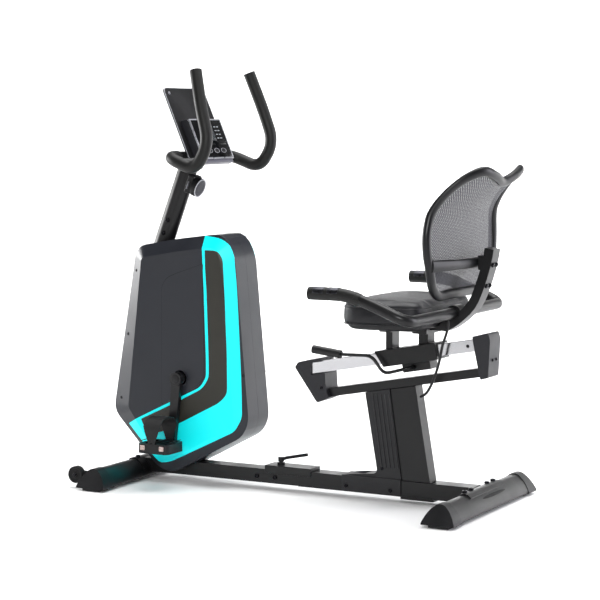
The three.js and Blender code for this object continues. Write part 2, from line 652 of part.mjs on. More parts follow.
// One half of the casing: a straight edge wall, then a bevel up to the flat outer face.
function casing(grow, y0, edgeY, faceY) {
  const corners = inset(housingCorners, grow);
  const face = inset(corners, housing.bevelInset);
  const lowRing = roundedOutline(corners).getPoints(3);
  const highRing = roundedOutline(face).getPoints(3);
  const middle = lowRing.map((point, index) => point.clone().lerp(highRing[index], 0.42));
  const layers = [[lowRing, y0], [lowRing, edgeY], [middle, edgeY + (faceY - edgeY) * 0.72], [highRing, faceY]];
  const rows = layers.map(([ring]) => ring.slice(0, -1));
  const count = rows[0].length;
  const positions = [];
  const faces = [];
  rows.forEach((row, layer) => row.forEach((point) => positions.push(point.x, layers[layer][1], point.y)));
  for (let layer = 0; layer < rows.length - 1; layer += 1) {
    for (let index = 0; index < count; index += 1) {
      const next = (index + 1) % count;
      const a = layer * count + index;
      const b = layer * count + next;
      faces.push(a, a + count, b, b, a + count, b + count);
    }
  }
  const endFaces = (layer, flip) => THREE.ShapeUtils.triangulateShape(rows[layer], []).forEach(([a, b, c]) => {
    const at = layer * count;
    if (flip) faces.push(at + a, at + c, at + b);
    else faces.push(at + a, at + b, at + c);
  });
  endFaces(0, false);
  endFaces(rows.length - 1, true);
  const geometry = new THREE.BufferGeometry();
  geometry.setAttribute('position', new THREE.Float32BufferAttribute(positions, 3));
  geometry.setIndex(faces);
  return geometry;
}

const { edgeY, faceY, wall } = housing;
const beamRoomTop = beam.frontTop + 1;
const casingHollow = casing(wall, -1, edgeY - wall * 0.4, faceY - wall);
const beamNotch = block(frontX, beam.seam, -1, beam.halfWidth + 1, 0, beamRoomTop);
const mastNotch = ovalTube(
  ovalSection(mast.depth + 4, mast.width + 4, 0, 20), mastX(560), 560, mastX(760), 760,
);
const spindleHole = discY(22, edgeY, faceY + 10, crank.x, crank.z, 24);
const casingRight = cut(
  cut(casing(0, fit / 2, edgeY, faceY), casingHollow), beamNotch, mastNotch, spindleHole,
);
add('housing_right', casingRight, finishes.shell());
add('housing_left', geometryOf(solidOf(casingRight).mirror([0, 1, 0])), finishes.shell());

// ---------------------------------------------------------------- drive plates inside the housing

const magnetPivot = {
  x: flywheel.x + (flywheel.radius + 12) * Math.cos(toRad(magnet.pivotAngle)),
  z: flywheel.z + (flywheel.radius + 12) * Math.sin(toRad(magnet.pivotAngle)),
};
const plateOutline = roundedOutline([
  [-1012, 585, 6], [-984, 240, 8], [crank.x - 4, crank.z - 34, 20], [crank.x + 36, crank.z - 10, 16],
  [magnetPivot.x + 16, magnetPivot.z - 14, 12], [magnetPivot.x + 14, magnetPivot.z + 16, 10],
  [flywheel.x + 22, flywheel.z + 6, 14], [flywheel.x - 6, flywheel.z + 24, 14],
]);
const plateHoles = [
  discY(crank.spindle + 3, -60, 60, crank.x, crank.z, 20),
  discY(flywheel.axle + running, -60, 60, flywheel.x, flywheel.z, 16),
];
const plateOuter = plate.inner + plate.thickness;
const spindleTube = ringY(crank.spindle + 9, crank.spindle + 3, -plateOuter - 8, plateOuter + 8, crank.x, crank.z, 20);
const pivotPin = discY(4, -plate.inner - 1, plate.inner - fit, magnetPivot.x, magnetPivot.z, 12);
const postRoom = join(postLower, postUpper);
add('drive_plate_left', cut(join(
  cut(extrudeY(plateOutline, -plateOuter, -plate.inner, 3), ...plateHoles),
  overlapOf(spindleTube, block(-2000, 0, -100, plate.inner - fit, 0, 1000)),
  pivotPin,
), postRoom), finishes.steel());
const idlerPin = discY(4, plateOuter - 1, 50, idler.armX, idler.armZ, 12);
add('drive_plate_right', cut(join(
  cut(extrudeY(plateOutline, plate.inner, plateOuter, 3), ...plateHoles),
  idlerPin,
), postRoom), finishes.steel());

// ---------------------------------------------------------------- crank, pulleys, belt and flywheel

const spindleEnd = crank.armOuter + 2;
add('crank_spindle', discY(crank.spindle, -spindleEnd, spindleEnd, crank.x, crank.z, 20), finishes.steel());

const pulleyRing = new THREE.Shape().absarc(0, 0, drive.pulley, 0, Math.PI * 2);
pulleyRing.holes.push(new THREE.Path().absarc(0, 0, crank.spindle + fit, 0, Math.PI * 2, true));
for (let index = 0; index < 5; index += 1) {
  const angle = (index / 5) * Math.PI * 2;
  const hole = new THREE.Path();
  hole.absarc(Math.cos(angle) * 62, Math.sin(angle) * 62, 24, 0, Math.PI * 2, true);
  pulleyRing.holes.push(hole);
}
const pulleyFlat = extrudeY(pulleyRing, drive.beltY, drive.beltY + drive.beltWidth, 16);
add('drive_pulley', pulleyFlat.translate(crank.x, 0, crank.z), finishes.plastic());

const beltAxis = Math.atan2(flywheel.z - crank.z, flywheel.x - crank.x);
const beltSpan = Math.hypot(flywheel.z - crank.z, flywheel.x - crank.x);

// The loop round both pulleys at a height above their rims.
function beltLoop(height) {
  const big = drive.pulley + height;
  const small = drive.pinion + height;
  const open = Math.acos((big - small) / beltSpan);
  const shape = new THREE.Shape();
  shape.absarc(0, 0, big, open, Math.PI * 2 - open);
  shape.absarc(beltSpan, 0, small, -open, open);
  return shape;
}

const beltShape = beltLoop(fit + drive.beltThickness);
beltShape.holes.push(beltLoop(fit));
const beltLow = drive.beltY + 1;
const belt = extrudeY(beltShape, beltLow, beltLow + drive.beltWidth - 2, 16);
add('drive_belt', belt.rotateY(-beltAxis).translate(crank.x, 0, crank.z), finishes.rubber());

const pinionEnd = drive.beltY + drive.beltWidth;
add('flywheel', join(
  discY(flywheel.radius, -flywheel.halfWidth, flywheel.halfWidth, flywheel.x, flywheel.z, 40),
  discY(flywheel.axle, -plateOuter - 6, pinionEnd + 2, flywheel.x, flywheel.z, 20),
  discY(drive.pinion, drive.beltY, pinionEnd, flywheel.x, flywheel.z, 24),
  discY(14, -plate.inner + 2, plate.inner - 2, flywheel.x, flywheel.z, 20),
), finishes.iron());

// The left arm hangs down and the right arm points up, each a little off upright.
for (const [name, side] of sides) {
  const inward = side < 0;
  const span = (low, high) => (inward ? [-high, -low] : [low, high]);
  const reach = side * crank.length;
  const foot = [crank.x + reach * Math.sin(crankLean), 0, crank.z + reach * Math.cos(crankLean)];
  const arm = extrudeY(outline([[-14, 0], [-11, reach], [11, reach], [14, 0]]), ...span(crank.armInner, crank.armOuter));
  const hub = discY(crank.hub, ...span(crank.armInner - 4, crank.armOuter + 5), 0, 0, 24);
  const eye = discY(crank.eye, ...span(crank.armInner, crank.armOuter), 0, reach, 20);
  const axle = discY(pedal.axle, ...span(crank.armOuter - 2, pedal.inner + pedal.width - 12), 0, reach, 16);
  const bore = discY(crank.spindle + fit, ...span(0, spindleEnd + fit), 0, 0, 20);
  const armSolid = cut(join(arm, hub, eye, axle), bore).rotateY(crankLean).translate(crank.x, 0, crank.z);
  add(`crank_arm_${name}`, armSolid, finishes.iron());

  // Pedal body: two side rails and end bars round the barrel that turns on the axle.
  const { top, bottom, bush, weight } = pedal;
  const halfLength = pedal.length / 2;
  const outer = pedal.inner + pedal.width;
  const frame = roundedOutline([
    [-halfLength, pedal.inner, 14], [halfLength, pedal.inner, 14], [halfLength, outer, 14], [-halfLength, outer, 14],
  ]);
  const window = (x0, x1) => block(x0, x1, pedal.inner + 12, outer - 12, bottom + weight, top + 1);
  const body = join(
    cut(extrudeZ(frame, bottom, top), window(-halfLength + 12, -bush), window(bush, halfLength - 12)),
    discY(bush + 1, pedal.inner - 3, outer - 2, 0, 0, 16),
  );
  const bored = cut(body, discY(pedal.axle + running, pedal.inner - 10, outer - 10, 0, 0, 16));
  const place = (geometry) => (inward ? geometryOf(solidOf(geometry).mirror([0, 1, 0])) : geometry);
  const pedalMesh = add(`pedal_${name}`, place(bored), finishes.plastic());
  pedalMesh.position.set(...foot);

  // The strap arches over the foot from one side of the pedal to the other.
  const { rise, width: strapWidth, thickness } = strap;
  const archShape = (grow) => {
    const low = grow > 0 ? top + fit : bottom;
    const left = pedal.inner + 1.3 - grow;
    const right = outer + fit + grow;
    const shape = new THREE.Shape();
    shape.moveTo(left, low);
    shape.lineTo(left, rise * 0.55);
    shape.quadraticCurveTo(left, rise + grow, (left + right) / 2, rise + grow);
    shape.quadraticCurveTo(right, rise + grow, right, rise * 0.55);
    shape.lineTo(right, low);
    return shape;
  };
  const strapSolid = cut(
    extrudeX(archShape(thickness), -strapWidth / 2, strapWidth / 2, 5),
    extrudeX(archShape(0), -strapWidth, strapWidth, 5),
    discY(bush + 1 + fit, pedal.inner - 10, outer + 10, 0, 0, 16),
  );
  const strapMesh = add(`pedal_strap_${name}`, place(strapSolid), finishes.rubber());
  strapMesh.position.set(...foot);
}

// ---------------------------------------------------------------- resistance: magnet bracket and idler

const magnetInner = flywheel.radius + magnet.gap;
const magnetShape = new THREE.Shape();
magnetShape.absarc(0, 0, magnetInner + magnet.thickness, toRad(magnet.pivotAngle - 3), toRad(magnet.toAngle));
magnetShape.absarc(0, 0, magnetInner, toRad(magnet.toAngle), toRad(magnet.pivotAngle - 3), true);
const magnetArc = extrudeY(magnetShape, -magnet.halfWidth, magnet.halfWidth, 12);
const pivotBoss = discY(9, -magnet.halfWidth, magnet.halfWidth, magnetPivot.x, magnetPivot.z, 16);
const pivotBore = discY(4 + running, -40, 40, magnetPivot.x, magnetPivot.z, 12);
const sweptWheel = discY(magnetInner, -40, 40, flywheel.x, flywheel.z, 40);
add('magnet_bracket', cut(
  join(magnetArc.translate(flywheel.x, 0, flywheel.z), pivotBoss), pivotBore, sweptWheel,
), finishes.steel());

const idlerLow = plateOuter + fit;
const idlerArmTop = drive.beltY - 2;
const idlerArm = roundedOutline([
  [idler.armX - 9, idler.armZ - 8, 6], [idler.armX + 9, idler.armZ - 8, 6],
  [idler.x + 9, idler.z + 9, 6], [idler.x - 9, idler.z + 9, 6],
]);
add('idler_arm', cut(join(
  extrudeY(idlerArm, idlerLow, idlerArmTop, 3),
  discY(4, idlerLow, drive.beltY + drive.beltWidth, idler.x, idler.z, 12),
), discY(4 + running, 0, 60, idler.armX, idler.armZ, 12)), finishes.steel());
add('idler_wheel', ringY(
  idler.radius, 4 + running, idlerArmTop + running, drive.beltY + drive.beltWidth, idler.x, idler.z, 20,
), finishes.plastic());

// ---------------------------------------------------------------- sliding seat: carriage and lever

const railRoom = block(-400, 900, -rail.halfWidth - running, rail.halfWidth + running, -rail.height - running, running);
const carriageSide = outline([
  [carriage.front + carriage.slant, -rail.height - carriage.below],
  [carriage.rear, -rail.height - carriage.below],
  [carriage.rear, carriage.above],
  [carriage.front, carriage.above],
]);
const carriageBlock = alongRail(extrudeY(carriageSide, -carriage.halfWidth, carriage.halfWidth));
const latchBox = alongRail(block(
  latch.front, latch.rear, -latch.halfWidth, latch.halfWidth, -rail.height - latch.drop, -rail.height - 5,
));
const seatPosts = [seatPost.front, seatPost.rear].flatMap(([low, high]) => [
  block(low, high, -seatPost.halfWidth, seatPost.halfWidth, railHeight(low, 2), seatPost.top + 1),
  block(
    low - crossBracket.overhang, high + crossBracket.overhang, -crossBracket.halfWidth, crossBracket.halfWidth,
    seatPost.top, crossBracket.top,
  ),
]);
const bracketChannel = block(
  backBracketFront - fit, 0, -backBracket.halfWidth - fit, backBracket.halfWidth + fit,
  backBracket.base - fit, crossBracket.top + 5,
);
const leverPivot = { x: -182, z: railHeight(-182, rail.height + 18) };
const leverHub = discY(5 + running, -latch.halfWidth - 10, -latch.halfWidth + 14, leverPivot.x, leverPivot.z, 14);
add('seat_carriage', cut(
  join(carriageBlock, latchBox, ...seatPosts),
  alongRail(railRoom), bracketChannel, leverHub,
), finishes.paint());

const leverPath = bentPath([
  [-452, -64, 398, 0], [-375, -64, 389, 14], [-284, -64, 391, 20],
  [-250, -62, 345, 18], [leverPivot.x, -58, leverPivot.z, 12], [leverPivot.x, -latch.halfWidth + 13, leverPivot.z, 0],
]);
const gripPath = new THREE.LineCurve3(new THREE.Vector3(-456, -64, 398.4), new THREE.Vector3(-374, -64, 388.9));
add('seat_lever', join(
  tubeAlong(leverPath, 4.5, 0, 36, 8),
  tubeAlong(gripPath, 11.5, 0, 1, 14),
), finishes.plastic());

// ---------------------------------------------------------------- seat pan and cushion

function seatOutline(distance) {
  const { front, rear, frontHalf, rearHalf, frontRadius, rearRadius } = cushion;
  return roundedOutline(inset([
    [front, -frontHalf, frontRadius], [rear, -rearHalf, rearRadius],
    [rear, rearHalf, rearRadius], [front, frontHalf, frontRadius],
  ], distance));
}

const panBevel = { bevelEnabled: true, bevelThickness: 14, bevelSize: 20, bevelSegments: 3 };
add('seat_pan', cut(
  extrudeZ(seatOutline(24), pan.base + 14, pan.top + 14, 5, panBevel),
  block(-500, 100, -300, 300, pan.top, pan.top + 60),
  block(
    backBracketFront - fit, 0, -backBracket.halfWidth - fit, backBracket.halfWidth + fit,
    pan.base - 5, backBracket.base + backBracket.depth + fit,
  ),
), finishes.plastic());

const cushionBevel = { bevelEnabled: true, bevelThickness: 12, bevelSize: 8, bevelSegments: 3 };
add('seat_cushion', extrudeZ(seatOutline(8), pan.top + fit + 12, cushionTop - 12, 5, cushionBevel), finishes.leather());

// ---------------------------------------------------------------- seat handle bar, grips and back bracket

const seatBarCorners = [
  [seatGrip.front + seatGrip.endWall, -seatBar.halfSpan, seatBar.height, 0],
  [-232, -seatBar.halfSpan, seatBar.height, 44],
  [-140, -seatBar.halfSpan, 536, 26],
  [seatBar.x, -seatBar.halfSpan, seatBar.z, 40],
];
const seatTube = (radius, bore, longer) => mirroredTube(seatBarCorners, radius, bore, 44, longer);
add('seat_handle_bar', seatTube(seatBar.radius, seatBar.radius - seatBar.wall), finishes.paint());

// Each grip is a sleeve with a closed front end.
const gripSleeves = cut(seatTube(seatGrip.radius, 0, seatGrip.endWall), seatTube(seatBar.radius + fit, 0, fit));
for (const [name, side] of sides) {
  const low = side < 0 ? -400 : 200;
  const reach = block(seatGrip.front - 20, seatGrip.rear, low, low + 200, 0, 2000);
  add(`seat_grip_${name}`, overlapOf(gripSleeves, reach), finishes.foam());
}

// ---------------------------------------------------------------- mesh back

// The back's surface: upright and dished below, rolling rearwards at the top.
function backX(y, z) {
  const smooth = (value) => {
    const t = Math.min(Math.max(value, 0), 1);
    return t * t * (3 - 2 * t);
  };
  const rolled = z > 760 ? 64 * ((z - 760) / 127) ** 1.5 : 0;
  const dish = 28 * smooth((z - 566) / 80) + 58 * smooth((z - 720) / 150);
  return -65 + rolled + dish * (1 - (y / 222) ** 2);
}

const rimHalf = [
  [0, 561], [70, 561], [138, 563], [176, 590], [197, 632], [208, 675], [210, 715], [202, 755],
  [190, 800], [177, 832], [156, 859], [122, 874], [66, 862], [0, 846],
];
const rimLoop = new THREE.CatmullRomCurve3([
  ...rimHalf,
  ...rimHalf.slice(1, -1).reverse().map(([y, z]) => [-y, z]),
].map(([y, z]) => new THREE.Vector3(0, y, z)), true, 'centripetal');

// A ring of the rim's section bent round the loop and laid on the back's surface.
const rimRing = reshape(new THREE.TorusGeometry(10, 1, 8, 64), (point) => {
  const turn = Math.atan2(point.y, point.x) / (Math.PI * 2);
  const along = (turn + 1) % 1;
  const radial = Math.hypot(point.x, point.y) - 10;
  const centre = rimLoop.getPointAt(along);
  const tangent = rimLoop.getTangentAt(along);
  const y = centre.y + tangent.z * radial * back.rimHalf;
  const z = centre.z - tangent.y * radial * back.rimHalf;
  return new THREE.Vector3(backX(centre.y, centre.z) + point.z * back.rimDepth, y, z);
});

const lumbarSpan = 210;
const lumbarBow = (y) => 9 + 18 * (1 - (y / lumbarSpan) ** 2);
const lumbarRear = backX(0, back.lumbarZ) + lumbarBow(0) + back.lumbarDepth;
const lumbar = reshape(new THREE.BoxGeometry(1, 1, 1, 1, 12, 1), (point) => {
  const y = point.y * 2 * lumbarSpan;
  const z = back.lumbarZ + point.z * 2 * back.lumbarHalf;
  return new THREE.Vector3(backX(y, back.lumbarZ) + lumbarBow(y) + point.x * 2 * back.lumbarDepth, y, z);
});
add('back_frame', join(rimRing, lumbar), finishes.plastic());

// The mesh is a thin sheet that fills the rim.
const meshProfile = [
  [0, 1], [0.25, 1], [0.5, 1], [0.75, 1], [1, 1], [1, -1], [0.75, -1], [0.5, -1], [0.25, -1], [0, -1],
].map(([x, y]) => new THREE.Vector2(x, y));
const meshMiddle = 720;
const meshSheet = reshape(new THREE.LatheGeometry(meshProfile, 40), (point) => {
  const radial = Math.hypot(point.x, point.z);
  const along = (Math.atan2(point.z, point.x) / (Math.PI * 2) + 1) % 1;
  const centre = rimLoop.getPointAt(along);
  const tangent = rimLoop.getTangentAt(along);
  const insetBy = back.rimHalf + 1;
  const edge = new THREE.Vector2(centre.y - tangent.z * insetBy, centre.z + tangent.y * insetBy);
  const y = edge.x * radial;
  const z = meshMiddle + (edge.y - meshMiddle) * radial;
  return new THREE.Vector3(backX(y, z) + point.y * back.mesh, y, z);
});
add('back_mesh', meshSheet, finishes.mesh());

// The bracket's rear edge; its front edge is the same curve set forward by its thickness.
const bracketRear = [[-112, 461], [-85, 462], [-40, 494], [-7, 531], [18, 592], [33, 645], [38, 674]];
const bracketCurve = new THREE.SplineCurve(bracketRear.map(([x, z]) => new THREE.Vector2(x, z)));
const bracketSteps = 14;
const bracketEdge = (distance) => Array.from({ length: bracketSteps + 1 }, (_, index) => {
  const at = index / bracketSteps;
  const tangent = bracketCurve.getTangentAt(at);
  return bracketCurve.getPointAt(at).add(new THREE.Vector2(-tangent.y, tangent.x).multiplyScalar(distance));
});
const bracketShape = new THREE.Shape([
  new THREE.Vector2(backBracketFront, backBracket.base),
  ...bracketEdge(0),
  ...bracketEdge(backBracket.depth).reverse(),
  new THREE.Vector2(backBracketFront, backBracket.base + backBracket.depth),
]);
const bracketHalf = backBracket.halfWidth;
const backPad = block(lumbarRear + fit, 16, -bracketHalf, bracketHalf, back.lumbarZ - 18, back.lumbarZ + 18);
const handleCollar = discY(seatBar.radius + 6, -bracketHalf, bracketHalf, seatBar.x, seatBar.z, 20);
const handleHole = discY(seatBar.radius + fit, -60, 60, seatBar.x, seatBar.z, 20);
add('back_bracket', cut(
  join(extrudeY(bracketShape, -bracketHalf, bracketHalf), backPad, handleCollar), handleHole,
), finishes.paint());

// ---------------------------------------------------------------- pulse lead

// The lead from the hand sensors leaves the handle bar and enters the column's rear face.
const leadPath = new THREE.CatmullRomCurve3([
  [-74, -52, 491.5], [-72, -52, 478], [-78, -51, 455], [-90, -50, 428], [-94, -50, 400],
  [-102, -48, 370], [-116, -42, 338], [-134, -30, 308], [-152, -16, 290], [-167.5, -10, 284],
].map((point) => new THREE.Vector3(...point)));
add('pulse_lead', tubeAlong(leadPath, 3, 0, 30, 8), finishes.rubber());

// ---------------------------------------------------------------- origin under the middle of the bike

const extent = new THREE.Box3().setFromObject(bike);
bike.position.x = -(extent.min.x + extent.max.x) / 2;

export default bike;
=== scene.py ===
import json
import math
from math import cos, pi, radians, sin

import bpy
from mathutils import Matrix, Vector


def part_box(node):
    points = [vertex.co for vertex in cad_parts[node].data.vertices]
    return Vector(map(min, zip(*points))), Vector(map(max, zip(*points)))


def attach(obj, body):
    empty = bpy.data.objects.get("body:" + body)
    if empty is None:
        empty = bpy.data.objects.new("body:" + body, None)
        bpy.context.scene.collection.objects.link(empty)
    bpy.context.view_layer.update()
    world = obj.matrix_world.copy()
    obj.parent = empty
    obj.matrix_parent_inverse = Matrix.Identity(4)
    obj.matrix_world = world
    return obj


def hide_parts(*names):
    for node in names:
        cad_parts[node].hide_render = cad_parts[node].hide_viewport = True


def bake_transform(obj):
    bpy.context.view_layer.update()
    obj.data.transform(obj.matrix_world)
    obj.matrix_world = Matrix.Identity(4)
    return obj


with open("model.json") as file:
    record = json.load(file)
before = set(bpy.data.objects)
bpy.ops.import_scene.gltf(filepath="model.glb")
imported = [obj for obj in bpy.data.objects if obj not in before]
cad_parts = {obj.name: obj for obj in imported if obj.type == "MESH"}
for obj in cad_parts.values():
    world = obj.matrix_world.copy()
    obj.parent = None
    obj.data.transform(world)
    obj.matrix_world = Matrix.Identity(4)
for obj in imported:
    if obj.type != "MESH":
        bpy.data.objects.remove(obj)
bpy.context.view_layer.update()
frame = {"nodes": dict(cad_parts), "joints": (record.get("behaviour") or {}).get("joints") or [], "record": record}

# ------------------------------------------------------------ camera, floor and light
# The bike stands on a plain pale studio floor. Large soft boxes stand behind the seat, in front of the
# housing and overhead, so that black paint and plastic are drawn by their edges.

scene = bpy.context.scene
scene.view_settings.view_transform = "Standard"

rear_low, rear_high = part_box("rear_stabiliser")
rear_axis = (rear_low.x + rear_high.x) / 2


def at(x, y, z):
    """A point in millimetres from the rear stabiliser's axis, the bike's middle and the floor."""
    return Vector((rear_axis + x / 1000, y / 1000, z / 1000))


camera = bpy.data.objects.new("camera", bpy.data.cameras.new("camera"))
scene.collection.objects.link(camera)
turn, rise = radians(28.3), radians(5.28)
backwards = Vector((sin(turn) * cos(rise), -cos(turn) * cos(rise), sin(rise)))
camera.location = at(1932, -4572.5, 1000)
camera.rotation_mode = "QUATERNION"
camera.rotation_quaternion = backwards.to_track_quat("Z", "Y")
camera.data.sensor_width = 36
camera.data.lens = 116.6
scene.camera = camera


def soft_box(name, place, aim, size, power, tint=(1, 1, 1)):
    lamp = bpy.data.lights.new(name, "AREA")
    lamp.shape = "RECTANGLE"
    lamp.size, lamp.size_y = size
    lamp.energy = power
    lamp.color = tint
    stand = bpy.data.objects.new(name, lamp)
    stand.location = place
    stand.rotation_mode = "QUATERNION"
    stand.rotation_quaternion = (place - aim).to_track_quat("Z", "Y")
    scene.collection.objects.link(stand)


middle = at(-500, 0, 500)
soft_box("box_behind_seat", at(2500, 1500, 1300), middle, (1.6, 2.2), 75, (0.94, 0.93, 1.0))
soft_box("box_ahead", at(-3600, -150, 950), at(-900, 0, 650), (1.0, 1.2), 75)
soft_box("box_overhead", at(-500, 700, 3400), at(-500, 500, 0), (3.4, 2.8), 165)
soft_box("box_near", at(1500, -4800, 2400), middle, (1.8, 1.2), 150)
soft_box("card_ahead", at(-2600, -3600, 500), at(-300, 0, 380), (1.6, 1.2), 9)

world = bpy.data.worlds.new("studio")
world.use_nodes = True
world.node_tree.nodes["Background"].inputs["Color"].default_value = (1, 1, 1, 1)
world.node_tree.nodes["Background"].inputs["Strength"].default_value = 0.16
scene.world = world


def linear(shade):
    """A hex colour such as #1b1c1f in linear light."""
    parts = [int(shade[i:i + 2], 16) / 255 for i in (1, 3, 5)]
    return (*[p / 12.92 if p <= 0.04045 else ((p + 0.055) / 1.055) ** 2.4 for p in parts], 1.0)


def add_node(material, kind, settings=(), links=()):
    """Adds a node with its settings, and links from other nodes' outputs."""
    node = material.node_tree.nodes.new(kind)
    for key, value in dict(settings).items():
        if isinstance(key, int) or key in node.inputs:
            node.inputs[key].default_value = value
        else:
            setattr(node, key, value)
    for key, source in dict(links).items():
        material.node_tree.links.new(source, node.inputs[key])
    return node


def shader_of(name, shade, roughness, metallic=0.0, ior=1.5):
    """A new material, with the values that are the same all over."""
    material = bpy.data.materials.new(name)
    material.use_nodes = True
    shader = material.node_tree.nodes["Principled BSDF"]
    shader.inputs["Base Color"].default_value = linear(shade)
    shader.inputs["Roughness"].default_value = roughness
    shader.inputs["Metallic"].default_value = metallic
    shader.inputs["IOR"].default_value = ior
    if metallic == 0:
        shader.inputs["Specular IOR Level"].default_value = 0.32
    return material


bpy.ops.mesh.primitive_plane_add(size=40, location=(0, 0, -0.0005))
floor = bpy.context.object
floor.name = "studio_floor"
paper = shader_of("matt_paper_sweep", "#f7f7f7", 0.9)
floor.data.materials.append(paper)
bpy.ops.mesh.primitive_plane_add(size=1, location=(0, 7, 1.1), rotation=(pi / 2, 0, 0))
backdrop = bpy.context.object
backdrop.name = "studio_backdrop"
backdrop.scale = (30, 2.4, 1)
backdrop.data.materials.append(paper)
soft_box("box_on_backdrop", at(-500, 4600, 3800), at(-500, 7450, 0), (9, 3), 800)

# ------------------------------------------------------------ welded steel frame
# Cut steel tube and plate, welded and powder coated in satin black. The coat rounds every edge and has
# a fine orange peel.


def feed(material, links):
    """Links nodes' outputs to the material's shader."""
    shader = material.node_tree.nodes["Principled BSDF"]
    for key, source in links.items():
        material.node_tree.links.new(source, shader.inputs[key])


def grained(name, dark, light, roughness, grain, depth, metallic=0.0, patch=70):
    """A coated, moulded or cast surface: grain of one size in mm, and broad patches of shade and gloss."""
    material = shader_of(name, dark, roughness, metallic)
    place = add_node(material, "ShaderNodeTexCoord")
    spot = {"Vector": place.outputs["Object"]}
    fine = add_node(
        material, "ShaderNodeTexNoise", {"Scale": 1000 / grain, "Detail": 4.0, "Roughness": 0.6}, spot,
    )
    broad = add_node(material, "ShaderNodeTexNoise", {"Scale": 1000 / patch, "Detail": 3.0}, spot)
    shade = add_node(
        material, "ShaderNodeMix", {"data_type": "RGBA", 6: linear(dark), 7: linear(light)},
        {0: broad.outputs["Fac"]},
    )
    gloss = add_node(
        material, "ShaderNodeMapRange",
        {"From Min": 0.3, "From Max": 0.7, "To Min": roughness - 0.05, "To Max": roughness + 0.07},
        {"Value": broad.outputs["Fac"]},
    )
    bump = add_node(
        material, "ShaderNodeBump", {"Strength": 0.7, "Distance": depth / 1000},
        {"Height": fine.outputs["Fac"]},
    )
    feed(material, {
        "Base Color": shade.outputs[2], "Roughness": gloss.outputs["Result"],
        "Normal": bump.outputs["Normal"],
    })
    return material


# Powder coat: satin black polyester, orange peel about 1.6 mm across.
powder_coat = grained("powder_coated_steel", "#0b0b0c", "#131315", 0.34, 1.6, 0.05)


def deselect():
    bpy.ops.object.select_all(action="DESELECT")


def take(piece):
    """Makes one piece the only one in hand."""
    deselect()
    piece.select_set(True)
    bpy.context.view_layer.objects.active = piece


def new_piece(name, shape):
    """Adds a piece with its own mesh or curve, and takes it in hand."""
    piece = bpy.data.objects.new(name, shape)
    scene.collection.objects.link(piece)
    take(piece)
    return piece


def edit_all():
    """Opens the piece in hand for editing, with all of it selected."""
    bpy.ops.object.mode_set(mode="EDIT")
    bpy.ops.mesh.select_all(action="SELECT")


def stop_editing():
    bpy.ops.object.mode_set(mode="OBJECT")


def added(name):
    """The piece just added, with its name."""
    bpy.context.object.name = name
    return bpy.context.object


def round_edges(piece, width, segments, angle=30):
    """Rounds the edges sharper than an angle by a width in mm."""
    bevel = piece.modifiers.new("edges", "BEVEL")
    bevel.width = width / 1000
    bevel.segments = segments
    bevel.angle_limit = radians(angle)


def finished(piece, material, body, angle=35, flat_faces=False):
    """Puts a piece's place and modifiers into its mesh, and gives it its finish and its body."""
    take(piece)
    bpy.ops.object.transform_apply(location=True, rotation=True, scale=True)
    for modifier in list(piece.modifiers):
        bpy.ops.object.modifier_apply(modifier=modifier.name)
    bpy.ops.object.shade_smooth_by_angle(angle=radians(angle))
    if flat_faces:
        weighted = piece.modifiers.new("flat faces", "WEIGHTED_NORMAL")
        weighted.keep_sharp = True
        bpy.ops.object.modifier_apply(modifier=weighted.name)
    if material is not None:
        piece.data.materials.clear()
        piece.data.materials.append(material)
    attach(piece, body)
    return piece


bodies = frame["record"]["behaviour"]["bodies"]
body_of_node = {node: body for body, nodes in bodies.items() for node in nodes}


def merged_copy(node, name):
    """A copy of a CAD node with its doubled points merged and its flat faces made whole."""
    piece = new_piece(name, frame["nodes"][node].data.copy())
    edit_all()
    bpy.ops.mesh.remove_doubles(threshold=0.00002)
    bpy.ops.mesh.dissolve_limited(angle_limit=radians(0.6))
    stop_editing()
    return piece


def softened(node, material, width, segments=3, angle=32, reshape=None):
    """Stands for a CAD node, with its sharp edges rounded by a width in mm."""
    piece = merged_copy(node, node + "_shown")
    if reshape:
        reshape(piece)
    round_edges(piece, width, segments, angle)
    finished(piece, material, body_of_node[node], flat_faces=True)
    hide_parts(node)
    return piece


for node, width in (
    ("front_beam", 1.6), ("rear_beam", 1.6), ("beam_sleeve", 1.4), ("seat_column", 3.0),
    ("front_stabiliser", 0.8), ("rear_stabiliser", 0.8), ("frame_post", 0.8), ("handlebar_post", 0.8),
    ("seat_support_beam", 2.2), ("seat_carriage", 1.4), ("back_bracket", 2.0),
):
    softened(node, powder_coat, width)

# ------------------------------------------------------------ bolts
# Black domed socket screws and hexagon bolts with washers hold the stabilisers, the beams and the back.
# Each is turned from bar, and the socket is pressed in.

zinc = grained("black_zinc_plated_steel", "#1b1b1d", "#2c2c30", 0.3, 0.8, 0.02, metallic=1.0, patch=8)
side_name = {-1: "left", 1: "right"}


def stand(piece, place, direction):
    """Puts a piece at a place with its top looking along a direction."""
    piece.rotation_mode = "QUATERNION"
    piece.rotation_quaternion = Vector(direction).to_track_quat("Z", "Y")
    piece.location = place


